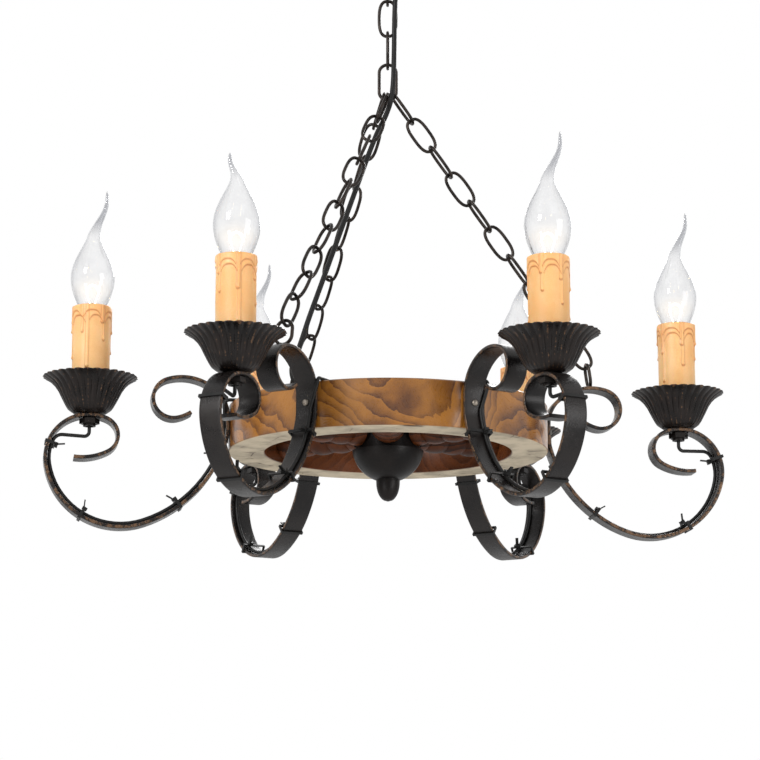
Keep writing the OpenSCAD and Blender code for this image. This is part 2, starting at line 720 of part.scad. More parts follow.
// A fluted dish: rings of points whose radius swings in and out once a flute, deeper towards the
// rim, with the wall's inner face following the outer one.
module dish(i) {
    columns = 2 * dish_flutes;
    outer = [for (p = dish_outline) [p[1] * dish_radius, p[0] * dish_height, pow(p[0], 1.5)]];
    inner = [for (j = [len(outer) - 1 : -1 : 0]) [
        outer[j][0] - dish_wall * (j == 0 ? 0.4 : 1.15),
        outer[j][1] + dish_wall * (j == 0 ? 1 : j == len(outer) - 1 ? 0.2 : 0.5),
        outer[j][2]
    ]];
    rings = concat([[dish_hole, 0, 0]], outer, inner, [[dish_hole, dish_wall, 0]]);
    points = [for (q = rings) for (c = [0 : columns - 1])
        let (
            a = 360 * c / columns,
            half = flute_depth * q[2] / 2,
            swing = c % 2 == 0 ? half : -half,
            r = q[0] - half + swing
        )
        [r * cos(a), r * sin(a), q[1] + swing * 0.45]
    ];
    color([0.15, 0.12, 0.11]) at_lamp(i)
        polyhedron(points, ring_faces(columns, len(rings), true), convexity = 6);
}

module holder_pipes() {
    color("silver") for (i = ARMS) at_lamp(i) {
        translate([0, 0, pipe_bottom_z]) tube(pipe_radius, pipe_bore, pipe_top_z - pipe_bottom_z);
        translate([0, 0, nut_seat_z - nut_height]) hex_nut(nut_height);
    }
}

module lamp_holders() {
    color([0.93, 0.9, 0.84]) for (i = ARMS) at_lamp(i) difference() {
        union() {
            translate([0, 0, dish_wall]) cylinder(h = holder_base_z - dish_wall + eps, r = holder_foot);
            translate([0, 0, holder_base_z])
                cylinder(h = sleeve_base_z - holder_base_z, r = sleeve_bore + 0.7);
            translate([0, 0, sleeve_base_z - eps]) cylinder(h = 4, r = holder_radius);
            translate([0, 0, sleeve_base_z])
                cylinder(h = socket_floor_z - sleeve_base_z, r = holder_column);
            translate([0, 0, socket_floor_z - 2])
                cylinder(h = socket_top_z - socket_floor_z + 2, r = holder_radius - 2);
        }
        translate([0, 0, socket_floor_z]) cylinder(h = cap_length + 10, r = socket_bore);
        translate([0, 0, -1]) cylinder(h = pipe_top_z + 1.3, r = pipe_radius + fit_gap);
        translate([0, 0, -1]) cylinder(h = socket_floor_z - 2, r = pipe_bore);
    }
}

// A wax-look sleeve: a soft lip round its mouth, and runs that end in a round drop.
module sleeve(i) {
    top = sleeve_height;
    lip = sleeve_radius + lip_overhang;
    color([0.96, 0.78, 0.5]) at_lamp(i) rotate([0, 0, sleeve_turn * i])
        translate([0, 0, sleeve_base_z]) difference() {
            union() {
                cylinder(h = top - 1, r = sleeve_radius);
                rotate_extrude() polygon([
                    [sleeve_bore, top - lip_height - 2],
                    [sleeve_radius, top - lip_height - 2],
                    [lip, top - lip_height],
                    [lip, top - 2],
                    [sleeve_radius, top - 0.6],
                    [sleeve_radius - 1, top],
                    [sleeve_bore, top]
                ]);
                for (w = sleeve_runs) rotate([0, 0, w[0]])
                    translate([sleeve_radius - 0.3 * w[2], 0, top - lip_height + 2 - w[1]]) {
                        cylinder(h = w[1], r = w[2]);
                        sphere(r = w[2] * 1.1);
                    }
            }
            translate([0, 0, -1]) cylinder(h = top + 2, r = sleeve_bore);
        }
}

module bulb_cap(i) {
    threads = floor((cap_length - 8) / thread_pitch);
    color("goldenrod") at_lamp(i) translate([0, 0, cap_top_z - cap_length]) {
        translate([0, 0, 4]) cylinder(h = cap_length - 4, r = cap_root);
        for (k = [0 : threads - 1]) translate([0, 0, 6 + k * thread_pitch])
            rotate_extrude() translate([cap_root, 0]) circle(r = thread_bead);
        translate([0, 0, 1]) cylinder(h = 3.01, r1 = 3.4, r2 = cap_root);
        cylinder(h = 1.01, r = 2.4);
    }
}

// Radius of the glass at a share of the way up: a full belly below, then a long flame shoulder.
function belly_radius(t) = glass_neck + (bulb_radius - glass_neck) * pow(sin(90 * t), 1.2);
function shoulder_radius(t) = glass_tip + (bulb_radius - glass_tip) * pow((1 + cos(180 * t)) / 2, 0.62);

function glass_outline(inset) = concat(
    [for (k = [0 : glass_steps]) let (t = k / glass_steps)
        [belly_radius(t) - inset, glass_base_z + (belly_z - glass_base_z) * t]],
    [for (k = [1 : glass_steps]) let (t = k / glass_steps)
        [shoulder_radius(t) - inset, belly_z + (shoulder_z - belly_z) * t]]
);

// The tail leans over and straightens up again while it thins to its tip.
module glass_tail(share) {
    sides = 8;
    steps = 8;
    spots = [for (k = [0 : steps]) let (t = k / steps) [
        tail_bend * share * (1 - cos(180 * min(1, t * 1.25))) / 2,
        shoulder_z - 2 + (tail_height * share + 2) * t,
        (glass_tip + 0.4) * pow(1 - t, 0.9) + 0.9
    ]];
    points = [for (s = spots) for (c = [0 : sides - 1])
        [s[0] + s[2] * cos(360 * c / sides), s[2] * sin(360 * c / sides), s[1]]];
    last = steps * sides;
    faces = concat(
        [for (c = [1 : sides - 2]) [0, c + 1, c]],
        [for (f = ring_faces(sides, steps + 1, false)) [f[0], f[2], f[1]]],
        [for (c = [1 : sides - 2]) [last, last + c, last + c + 1]]
    );
    polyhedron(points, [for (f = faces) [f[0], f[2], f[1]]]);
}

module bulb_glass(i) {
    floor_z = glass_base_z + 2 * glass_wall;
    stem = 20;
    filament_rise = 14;
    filament_spread = 6;
    color([0.9, 0.9, 0.88, 0.5]) at_lamp(i) rotate([0, 0, tail_turns[i - 1] - arm_turns[i - 1]]) {
        difference() {
            rotate_extrude() polygon(concat([[0, glass_base_z]], glass_outline(0), [[0, shoulder_z]]));
            rotate_extrude() polygon(concat(
                [[0, floor_z]],
                [for (p = glass_outline(glass_wall)) if (p[1] > floor_z && p[1] < shoulder_z - 3) p],
                [[0, shoulder_z - 4]]
            ));
        }
        glass_tail(tail_shares[i - 1]);
        translate([0, 0, glass_base_z]) cylinder(h = stem, r = 2.2);
        translate([0, 0, glass_base_z + stem - eps]) cylinder(h = 8, r1 = 2.2, r2 = 1);
    }
    color([1, 0.75, 0.3]) at_lamp(i) translate([0, 0, glass_base_z + stem + 6]) {
        for (s = [-1, 1]) rod([0.6 * s, 0, 0], [filament_spread * s, 0, filament_rise], filament_wire);
        translate([0, 0, filament_rise]) rotate([90, 0, 0]) rotate_extrude(angle = 180)
            translate([filament_spread, 0]) circle(r = filament_wire);
    }
}

// ---------------------------------------------------------------- supply cord

// A round tube along the cord's points: each ring stands square to the line between its neighbours.
module supply_cord() {
    n = len(cord_points);
    rings = [for (k = [0 : n - 1])
        let (
            before = cord_points[max(0, k - 1)],
            after = cord_points[min(n - 1, k + 1)],
            d = k == 0 ? [0, 0, -1] : unit(k == n - 1 ? cord_end : after - before),
            x = unit(cross([0.3, -1, 0.1], d)),
            y = cross(d, x)
        )
        for (a = [0 : 360 / cord_sides : 359])
            cord_points[k] + (x * cos(a) + y * sin(a)) * cord_diameter / 2
    ];
    last = (n - 1) * cord_sides;
    faces = concat(
        [for (c = [1 : cord_sides - 2]) [0, c, c + 1]],
        ring_faces(cord_sides, n, false),
        [for (c = [1 : cord_sides - 2]) [last, last + c + 1, last + c]]
    );
    color([0.1, 0.1, 0.1]) polyhedron(rings, [for (f = faces) [f[0], f[2], f[1]]], convexity = 8);
}

// ---------------------------------------------------------------- drawing

ceiling_bracket();
canopy();
canopy_loop();
canopy_screws();
cord_grommet();
for (i = MAIN_LINKS) main_link(i);
for (k = [0 : 2]) sling(k);
chain_eyes();
supply_cord();
wheel_rim();
hub();
hub_cover();
finial();
hub_rod();
for (i = ARMS) spoke(i);
for (i = ARMS) arm(i);
arm_screws();
arm_wires();
cable_ties();
holder_pipes();
lamp_holders();
for (i = ARMS) dish(i);
for (i = ARMS) sleeve(i);
for (i = ARMS) bulb_cap(i);
for (i = ARMS) bulb_glass(i);
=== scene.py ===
"""Wagon wheel chandelier: the looks of the turned wheel, its chain, scroll arms and candle lamps."""
import logging
import math
from collections.abc import Callable, Iterable, Sequence
from dataclasses import dataclass
from enum import Enum
from itertools import pairwise

import bpy
import numpy as np
from mathutils import Matrix, Vector, noise


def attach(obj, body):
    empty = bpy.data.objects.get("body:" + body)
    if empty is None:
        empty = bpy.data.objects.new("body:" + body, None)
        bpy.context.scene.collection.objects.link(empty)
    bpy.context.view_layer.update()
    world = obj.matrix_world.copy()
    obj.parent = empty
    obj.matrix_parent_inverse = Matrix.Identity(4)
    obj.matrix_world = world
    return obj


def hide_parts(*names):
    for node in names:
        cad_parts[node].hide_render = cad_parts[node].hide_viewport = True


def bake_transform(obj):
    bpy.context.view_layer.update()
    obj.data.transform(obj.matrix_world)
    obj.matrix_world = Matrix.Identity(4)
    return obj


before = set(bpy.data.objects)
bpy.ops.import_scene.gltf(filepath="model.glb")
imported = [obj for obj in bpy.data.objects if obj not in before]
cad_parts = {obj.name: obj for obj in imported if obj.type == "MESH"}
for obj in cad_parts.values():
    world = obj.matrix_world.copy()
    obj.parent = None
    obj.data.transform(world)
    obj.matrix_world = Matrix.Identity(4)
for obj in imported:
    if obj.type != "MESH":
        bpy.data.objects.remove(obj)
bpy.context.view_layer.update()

MM = 0.001
WHEEL_Z = -457.058  # the rim's underside, in millimetres
SAME = 1e-6  # points nearer than this, in metres, share a place
LOG = logging.getLogger("chandelier")
Colour = tuple[float, float, float]
Point = tuple[float, float, float]


def mm(*values: float) -> Vector:
    """A point given in millimetres, in metres."""
    return Vector(values) * MM


# ---------------------------------------------------------------- the bench


class Bench:
    """One piece on the bench: a primitive that edit-mode operators shape."""

    def __init__(self, name: str) -> None:
        """Clears the bench for a new piece.

        Args:
            name: The finished piece's name.
        """
        self.name = name
        if bpy.context.mode != "OBJECT":
            bpy.ops.object.mode_set(mode="OBJECT")
        bpy.ops.object.select_all(action="DESELECT")

    @property
    def obj(self) -> bpy.types.Object:
        """The piece being shaped."""
        return bpy.context.view_layer.objects.active

    def edit(self) -> None:
        """Goes into edit mode."""
        bpy.ops.object.mode_set(mode="EDIT")

    def leave(self) -> None:
        """Goes back to object mode."""
        bpy.ops.object.mode_set(mode="OBJECT")

    def circle(self, radius: float, z: float, sides: int) -> None:
        """Adds an open ring to start from and opens it for editing.

        Args:
            radius: The ring's radius in metres.
            z: Its height.
            sides: Its number of points.
        """
        bpy.ops.mesh.primitive_circle_add(vertices=sides, radius=radius, location=(0, 0, z))
        bpy.ops.object.transform_apply(location=True)
        self.edit()
        bpy.ops.mesh.select_all(action="SELECT")

    def pick(self, wanted: Callable[[Vector], bool], mode: str = "VERT") -> None:
        """Selects the points whose place passes a test.

        Args:
            wanted: Says of a point's place whether it is picked.
            mode: The select mode to leave the mesh in.
        """
        self.leave()
        mesh = self.obj.data
        picked = [bool(wanted(v.co)) for v in mesh.vertices]
        mesh.vertices.foreach_set("select", picked)
        mesh.edges.foreach_set("select", [all(picked[k] for k in e.vertices) for e in mesh.edges])
        mesh.polygons.foreach_set("select", [all(picked[k] for k in p.vertices) for p in mesh.polygons])
        self.edit()
        bpy.ops.mesh.select_mode(type=mode)

    def draw_up(self, stations: Sequence[tuple[float, float]],
                shift: Callable[[int], float] | None = None) -> None:
        """Draws the selected ring through stations of (radius, height), as on a lathe.

        Args:
            stations: The first one is where the ring already stands.
            shift: Side step in X of each station, counted from the first.
        """
        for k, ((r0, z0), (r1, z1)) in enumerate(pairwise(stations)):
            dx = shift(k + 1) - shift(k) if shift else 0.0
            at = shift(k + 1) if shift else 0.0
            bpy.ops.mesh.extrude_region_move(TRANSFORM_OT_translate={"value": (dx, 0, z1 - z0)})
            if abs(r1 - r0) > 1e-9:
                bpy.ops.transform.resize(value=(r1 / r0, r1 / r0, 1), center_override=(at, 0, z1))

    def turn_up(self, stations: Iterable[tuple[float, float]], sides: int) -> list[tuple[float, float]]:
        """Turns an open shape on the lathe.

        Args:
            stations: (radius, height) in millimetres.
            sides: Number of points round it.

        Returns:
            The stations in metres.
        """
        rows = [(r * MM, z * MM) for r, z in stations]
        self.circle(*rows[0], sides)
        self.draw_up(rows)
        return rows

    def spin_run(self, p: tuple[float, float, float], arcs: Iterable[tuple[float, float]], step: float) -> None:
        """Spins the selected loop through tangent arcs in the XZ plane.

        Args:
            p: Place and heading of the loop, [x, z, degrees].
            arcs: (radius, degrees of turn); a turn to the left is positive.
            step: Longest step of a spin in metres.
        """
        for radius, turn in arcs:
            side = math.copysign(1, turn)
            heading = math.radians(p[2])
            centre = (p[0] - side * radius * math.sin(heading), 0, p[1] + side * radius * math.cos(heading))
            count = max(2, math.ceil(radius * math.radians(abs(turn)) / step))
            bpy.ops.mesh.spin(steps=count, angle=math.radians(turn), center=centre, axis=(0, 1, 0))
            p = arc_end(p, radius, turn)

    def close(self, wanted: Callable[[Vector], bool]) -> None:
        """Draws the points that pass a test together into one."""
        self.pick(wanted)
        bpy.ops.mesh.merge(type="CENTER")

    def cap(self, wanted: Callable[[Vector], bool]) -> None:
        """Closes the loop of points that pass a test with one face."""
        self.pick(wanted)
        bpy.ops.mesh.edge_face_add()

    def modify(self, kind: str, **settings: object) -> None:
        """Adds a modifier and applies it.

        Args:
            kind: Blender's name of the modifier.
            **settings: What it is set to.
        """
        self.leave()
        modifier = self.obj.modifiers.new(kind.lower(), kind)
        for key, value in settings.items():
            setattr(modifier, key, value)
        bpy.ops.object.modifier_apply(modifier=modifier.name)

    def tidy(self, outwards: bool = True) -> None:
        """Merges doubles and turns the faces outwards.

        Args:
            outwards: Whether the faces are turned.
        """
        self.edit()
        bpy.ops.mesh.select_all(action="SELECT")
        bpy.ops.mesh.remove_doubles(threshold=SAME)
        if outwards:
            bpy.ops.mesh.normals_make_consistent(inside=False)
            self.leave()
            faces = self.obj.data.polygons
            if sum(f.area * f.normal.xy.dot(f.center.xy) for f in faces) < 0:
                self.edit()
                bpy.ops.mesh.flip_normals()
        self.leave()

    def reshape(self, move: Callable[[Vector], Vector]) -> None:
        """Moves every point by hand.

        Args:
            move: Gives a point's new place from its old one.
        """
        self.leave()
        for vertex in self.obj.data.vertices:
            vertex.co = move(vertex.co.copy())

    def take(self, angle: float = 40) -> bpy.types.Object:
        """Smooths the piece and takes it off the bench.

        Args:
            angle: Edges sharper than this many degrees stay crisp.

        Returns:
            The finished piece.
        """
        self.leave()
        obj = self.obj
        bpy.ops.object.select_all(action="DESELECT")
        obj.select_set(True)
        bpy.ops.object.shade_smooth_by_angle(angle=math.radians(angle))
        obj.name = self.name
        obj.data.name = self.name
        return obj


def arc_end(p: tuple[float, float, float], radius: float, turn: float) -> tuple[float, float, float]:
    """The place and heading after one arc.

    Args:
        p: Place and heading before it, [x, z, degrees].
        radius: The arc's radius.
        turn: Degrees of turn, positive to the left.

    Returns:
        Place and heading after it.
    """
    side = math.copysign(1, turn)
    before, after = math.radians(p[2]), math.radians(p[2] + turn)
    return (
        p[0] + side * radius * (math.sin(after) - math.sin(before)),
        p[1] - side * radius * (math.cos(after) - math.cos(before)),
        p[2] + turn,
    )


def copy_of(master: bpy.types.Object, name: str, place: Matrix) -> bpy.types.Object:
    """A copy of a piece with its own mesh, its place in the mesh.

    Args:
        master: The piece to copy.
        name: The copy's name.
        place: Where it goes.

    Returns:
        The copy.
    """
    obj = master.copy()
    obj.data = master.data.copy()
    obj.data.transform(place)
    obj.name = name
    obj.data.name = name
    bpy.context.scene.collection.objects.link(obj)
    return obj


def wire(name: str, line: Sequence[Vector], radius: float, resolution: int, angle: float) -> bpy.types.Object:
    """A round wire along a line, with closed ends.

    Args:
        name: The piece's name.
        line: Its points in metres.
        radius: The wire's radius.
        resolution: How finely its section is divided.
        angle: Edges sharper than this many degrees stay crisp.

    Returns:
        The wire as a mesh.
    """
    curve = bpy.data.curves.new(name, "CURVE")
    curve.dimensions = "3D"
    curve.bevel_depth = radius
    curve.bevel_resolution = resolution
    curve.use_fill_caps = True
    spline = curve.splines.new("POLY")
    spline.points.add(len(line) - 1)
    for point, at in zip(spline.points, line):
        point.co = (*at, 1)
    obj = bpy.data.objects.new(name, curve)
    bpy.context.scene.collection.objects.link(obj)
    Bench(name)
    bpy.context.view_layer.objects.active = obj
    obj.select_set(True)
    bpy.ops.object.convert(target="MESH")
    bpy.ops.object.shade_smooth_by_angle(angle=math.radians(angle))
    return bpy.context.view_layer.objects.active


def write_values(obj: bpy.types.Object, name: str, values: Sequence[float]) -> None:
    """Writes a number on each point of a piece, for its finish to read.

    Args:
        obj: The piece.
        name: The attribute's name.
        values: One number for each point.
    """
    obj.data.attributes.new(name, "FLOAT", "POINT").data.foreach_set("value", values)


def place_piece(obj: bpy.types.Object, body: str, finish: bpy.types.Material, slot: str, *nodes: str) -> None:
    """Dresses a piece, lets it ride on its body and hides the frame's nodes that it replaces.

    Args:
        obj: The piece.
        body: The body it moves with.
        finish: Its material.
        slot: A material slot's name; not used.
        *nodes: The frame's nodes that it replaces.
    """
    obj.data.materials.clear()
    obj.data.materials.append(finish)
    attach(obj, body)
    if nodes:
        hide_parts(*nodes)
    LOG.info("%s: %d faces on %s", obj.name, len(obj.data.polygons), body)


def dress(finish: bpy.types.Material, *nodes: str) -> None:
    """Gives the frame's own nodes a finish.

    Args:
        finish: The material.
        *nodes: Names of nodes.
    """
    for name in nodes:
        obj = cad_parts[name]
        obj.data.materials.clear()
        obj.data.materials.append(finish)
        LOG.info("%s dressed in %s", name, finish.name)


# ---------------------------------------------------------------- finishes


class Graph:
    """A node tree that is being wired."""

    def __init__(self, tree: bpy.types.NodeTree) -> None:
        """Takes the tree to wire."""
        self.tree = tree

    def add(self, kind: str, inputs: dict[str | int, object] | None = None, **settings: object) -> bpy.types.Node:
        """Adds a node.

        Args:
            kind: The node's class name without its prefix.
            inputs: What its sockets are set to or linked from.
            **settings: Its other properties.

        Returns:
            The node.
        """
        node = self.tree.nodes.new("ShaderNode" + kind)
        for key, value in settings.items():
            setattr(node, key, value)
        self.feed(node, inputs or {})
        return node

    def feed(self, node: bpy.types.Node, inputs: dict[str | int, object]) -> None:
        """Links or sets a node's inputs.

        Args:
            node: The node.
            inputs: What its sockets are linked from or set to.
        """
        for key, value in inputs.items():
            if isinstance(value, bpy.types.NodeSocket):
                self.tree.links.new(value, node.inputs[key])
            else:
                node.inputs[key].default_value = value

    def place(self) -> bpy.types.NodeSocket:
        """The place on the piece itself."""
        return self.add("TexCoord").outputs["Object"]

    def read(self, name: str) -> bpy.types.NodeSocket:
        """The number written on the piece's points under a name."""
        return self.add("Attribute", attribute_name=name).outputs["Fac"]

    def bump(self, height: bpy.types.NodeSocket, strength: float, distance: float) -> bpy.types.NodeSocket:
        """A height as a tilt of the surface."""
        return self.add("Bump", {"Height": height, "Strength": strength, "Distance": distance}).outputs[0]

    def math(self, operation: str, a: object, b: object = 0.0, clamp: bool = False) -> bpy.types.NodeSocket:
        """One step of arithmetic between sockets or numbers."""
        return self.add("Math", {0: a, 1: b}, operation=operation, use_clamp=clamp).outputs[0]

    def ramp(self, value: bpy.types.NodeSocket, low: float, high: float,
             to: tuple[float, float] = (0, 1)) -> bpy.types.NodeSocket:
        """Maps a span of values smoothly on another."""
        spans = {"Value": value, "From Min": low, "From Max": high, "To Min": to[0], "To Max": to[1]}
        return self.add("MapRange", spans, interpolation_type="SMOOTHSTEP").outputs["Result"]

    def mix(self, factor: object, a: object, b: object, blend: str = "MIX") -> bpy.types.NodeSocket:
        """Mixes two colours.

        Args:
            factor: Share of the second.
            a: The first, a socket or a colour.
            b: The second.
            blend: Blender's name of the mixing.

        Returns:
            The mixed colour.
        """
        sockets = {0: factor, 6: a, 7: b}
        inputs = {k: (*v, 1) if isinstance(v, tuple) else v for k, v in sockets.items()}
        return self.add("Mix", inputs, data_type="RGBA", blend_type=blend).outputs[2]

    def noise(self, vector: bpy.types.NodeSocket, scale: object, detail: float = 4,
              rough: float = 0.55) -> bpy.types.NodeSocket:
        """Cloudy noise from 0 to 1."""
        node = self.add("TexNoise", {"Vector": vector, "Scale": scale, "Detail": detail, "Roughness": rough})
        return node.outputs["Fac"]


def new_group(name: str, inputs: dict[str, float | str], outputs: Sequence[str]) -> tuple[Graph, dict, dict]:
    """Starts a shader node group.

    Args:
        name: The group's name.
        inputs: Its inputs, with a number or "vector".
        outputs: Its outputs, all numbers.

    Returns:
        The graph, the sockets that come in and the ones that go out.
    """
    tree = bpy.data.node_groups.new(name, "ShaderNodeTree")
    for key, value in inputs.items():
        kind = "NodeSocketVector" if value == "vector" else "NodeSocketFloat"
        socket = tree.interface.new_socket(key, in_out="INPUT", socket_type=kind)
        if value != "vector":
            socket.default_value = value
    for key in outputs:
        tree.interface.new_socket(key, in_out="OUTPUT", socket_type="NodeSocketFloat")
    graph = Graph(tree)
    come = tree.nodes.new("NodeGroupInput")
    go = tree.nodes.new("NodeGroupOutput")
    return graph, {k: come.outputs[k] for k in inputs}, {k: go.inputs[k] for k in outputs}


def new_material(name: str) -> tuple[bpy.types.Material, Graph, bpy.types.Node]:
    """Starts a material.

    Args:
        name: Its name.

    Returns:
        The material, its graph and its Principled shader.
    """
    material = bpy.data.materials.new(name)
    material.use_nodes = True
    return material, Graph(material.node_tree), material.node_tree.nodes["Principled BSDF"]


class Effects:
    """The effects that several finishes share, each built once."""

    def __init__(self) -> None:
        """Builds the groups."""
        self.mottle = self._mottle()
        self.grain = self._grain()
        self.scuff = self._scuff()

    @staticmethod
    def _mottle() -> bpy.types.NodeTree:
        """Broad and fine clouds of tone, with the fine ones as a height too."""
        g, come, go = new_group("mottle", {"Vector": "vector", "Broad": 60.0, "Fine": 900.0}, ["Tone", "Height"])
        broad = g.noise(come["Vector"], come["Broad"], 3, 0.5)
        fine = g.noise(come["Vector"], come["Fine"], 5, 0.6)
        tone = g.math("ADD", g.math("MULTIPLY", broad, 0.65), g.math("MULTIPLY", fine, 0.35))
        g.tree.links.new(g.ramp(tone, 0.35, 0.65), go["Tone"])
        g.tree.links.new(fine, go["Height"])
        return g.tree

    @staticmethod
    def _grain() -> bpy.types.NodeTree:
        """Solid wood: growth rings round a bowed heart, fibres along it, and pores."""
        g, come, go = new_group(
            "wood_grain", {"Vector": "vector", "Rings": 60.0, "Bow": 1.0}, ["Ring", "Fibre", "Pore"])
        cloud = {"Vector": come["Vector"], "Scale": 11.0, "Detail": 2.0, "Roughness": 0.4}
        warp = g.add("TexNoise", cloud).outputs["Color"]
        bowed = g.add("VectorMath", {0: warp, 1: (0.5, 0.5, 0.5)}, operation="SUBTRACT").outputs[0]
        reach = g.math("MULTIPLY", come["Bow"], 0.06)
        scaled = g.add("VectorMath", {0: bowed, "Scale": reach}, operation="SCALE").outputs[0]
        at = g.add("VectorMath", {0: come["Vector"], 1: scaled}, operation="ADD").outputs[0]
        wave = {"Vector": at, "Scale": come["Rings"], "Distortion": 4.0, "Detail": 4.0, "Detail Scale": 1.8,
                "Detail Roughness": 0.62}
        rings = g.add("TexWave", wave, wave_type="RINGS", rings_direction="Z", wave_profile="SAW").outputs["Fac"]
        g.tree.links.new(rings, go["Ring"])
        stretched = g.add("Mapping", {"Vector": at, "Scale": (1.0, 1.0, 0.05)}).outputs[0]
        g.tree.links.new(g.noise(stretched, 1400.0, 3), go["Fibre"])
        pores = g.add("Mapping", {"Vector": at, "Scale": (1.0, 1.0, 0.12)}).outputs[0]
        g.tree.links.new(g.ramp(g.noise(pores, 2300.0, 2), 0.6, 0.72), go["Pore"])
        return g.tree

    @staticmethod
    def _scuff() -> bpy.types.NodeTree:
        """Where a coat is rubbed through: on what stands out, broken up by clouds."""
        g, come, go = new_group("scuff", {"Vector": "vector", "Edge": 0.0, "Spread": 0.5}, ["Mask"])
        cloud = g.noise(come["Vector"], 120.0, 6, 0.7)
        fleck = g.noise(come["Vector"], 620.0, 4, 0.7)
        both = g.math("ADD", g.math("MULTIPLY", cloud, 0.6), g.math("MULTIPLY", fleck, 0.4))
        lift = g.math("ADD", both, g.math("MULTIPLY", come["Edge"], 0.28))
        level = g.math("SUBTRACT", 0.78, g.math("MULTIPLY", come["Spread"], 0.2))
        g.tree.links.new(g.ramp(g.math("SUBTRACT", lift, level), -0.03, 0.07), go["Mask"])
        return g.tree


EFFECTS = Effects()


@dataclass(frozen=True)
class Finish:
    """A painted, moulded or plated finish: a base tone, a second tone in clouds, and rub-through."""

    name: str
    base: Colour
    second: Colour
    rub: Colour = (0.3, 0.2, 0.12)
    rough: float = 0.5
    rough_span: float = 0.12
    metal: float = 0.0
    broad: float = 60.0
    fine: float = 900.0
    bump: float = 0.15
    bump_height: float = 0.0002
    spread: float = 0.0
    edge: str = ""
    specular: float = 0.5

    def make(self) -> bpy.types.Material:
        """Builds the material.

        Returns:
            The finished material.
        """
        material, g, shader = new_material(self.name)
        at = g.place()
        mottle = g.add("Group", {"Vector": at, "Broad": self.broad, "Fine": self.fine}, node_tree=EFFECTS.mottle)
        tone = mottle.outputs["Tone"]
        colour = g.mix(tone, self.base, self.second)
        half = self.rough_span / 2
        rough = g.ramp(tone, 0, 1, (self.rough - half, self.rough + half))
        if self.spread > 0:
            inputs = {"Vector": at, "Spread": self.spread}
            if self.edge:
                inputs["Edge"] = g.read(self.edge)
            mask = g.add("Group", inputs, node_tree=EFFECTS.scuff).outputs["Mask"]
            colour = g.mix(mask, colour, self.rub)
            rough = g.math("SUBTRACT", rough, g.math("MULTIPLY", mask, 0.12))
        g.feed(shader, {
            "Base Color": colour, "Roughness": rough, "Metallic": self.metal, "Specular IOR Level": self.specular,
            "Normal": g.bump(mottle.outputs["Height"], self.bump, self.bump_height),
        })
        return material


@dataclass(frozen=True)
class Wood:
    """Solid wood with rings round a tilted heart, varnished or raw, and an inner wall that can be painted darker as
    painted shade.
    """

    name: str
    light: Colour
    dark: Colour
    tilt: Point
    offset: Point
    rings: float = 22.0
    bow: float = 1.0
    gloss: float = 0.3
    coat: float = 0.5
    specular: float = 0.4
    raw: Colour | None = None
    raw_below: float = 0.0
    inside: Colour | None = None
    inner_radius: float = 0.0

    def make(self) -> bpy.types.Material:
        """Builds the material.

        Returns:
            The finished material.
        """
        material, g, shader = new_material(self.name)
        place = g.place()
        heart = g.add("Mapping", {"Vector": place, "Location": self.offset, "Rotation": self.tilt}).outputs[0]
        grain = g.add("Group", {"Vector": heart, "Rings": self.rings, "Bow": self.bow}, node_tree=EFFECTS.grain)
        ring, fibre, pore = (grain.outputs[k] for k in ("Ring", "Fibre", "Pore"))
        cloud = g.noise(heart, 26.0, 5, 0.6)
        figure = g.ramp(g.math("ADD", g.math("MULTIPLY", ring, 0.3), g.math("MULTIPLY", cloud, 1.1)), 0.42, 1.02)
        colour = g.mix(figure, self.light, self.dark)
        late = g.math("MULTIPLY", g.ramp(ring, 0.68, 1.0), g.ramp(cloud, 0.36, 0.6))
        colour = g.mix(g.math("MULTIPLY", late, 0.55), colour, tuple(0.45 * c for c in self.dark))
        streak = g.math("MULTIPLY", g.ramp(fibre, 0.42, 0.7), 0.22)
        colour = g.mix(streak, colour, (0.72, 0.62, 0.55), "MULTIPLY")
        colour = g.mix(g.math("MULTIPLY", pore, 0.35), colour, tuple(0.4 * c for c in self.dark))
        rough = g.ramp(fibre, 0.3, 0.7, (self.gloss - 0.05, self.gloss + 0.08))
        coat = self.coat
        axes = g.add("SeparateXYZ", {"Vector": place})
        # The inner wall is painted darker and redder: painted shade on the side that faces into the wheel.
        if self.inside:
            flat = g.add("CombineXYZ", {"X": axes.outputs["X"], "Y": axes.outputs["Y"]})
            radius = g.add("VectorMath", {0: flat.outputs[0]}, operation="LENGTH").outputs["Value"]
            within = g.ramp(radius, self.inner_radius + 0.0012, self.inner_radius + 0.0004)
            inner = g.mix(figure, self.inside, tuple(0.35 * c for c in self.inside))
            colour = g.mix(within, colour, inner)
        if self.raw:
            under = g.ramp(axes.outputs["Z"], self.raw_below + 0.0009, self.raw_below + 0.0003)
            blotch = g.noise(place, 42.0, 4, 0.6)
            pale = g.mix(g.ramp(blotch, 0.35, 0.7), self.raw, tuple(0.55 * c for c in self.raw))
            along = g.add("Mapping", {"Vector": heart, "Scale": (1.0, 1.0, 0.22)}).outputs[0]
            cells = {"Vector": along, "Scale": 46.0, "Randomness": 1.0}
            check = g.add("TexVoronoi", cells, feature="DISTANCE_TO_EDGE").outputs["Distance"]
            crack = g.math("MULTIPLY", g.ramp(check, 0.035, 0.0), g.ramp(blotch, 0.5, 0.62))
            pale = g.mix(crack, pale, (0.05, 0.025, 0.012))
            colour = g.mix(under, colour, pale)
            rough = g.math("ADD", rough, g.math("MULTIPLY", under, 0.4))
            coat = g.ramp(under, 0, 1, (self.coat, 0.0))
        height = g.math("ADD", g.math("MULTIPLY", fibre, 0.5), g.math("MULTIPLY", ring, 0.5))
        g.feed(shader, {
            "Base Color": colour, "Roughness": rough, "Normal": g.bump(height, 0.25, 0.0003),
            "Specular IOR Level": self.specular, "Coat Weight": coat, "Coat Roughness": 0.09,
        })
        return material


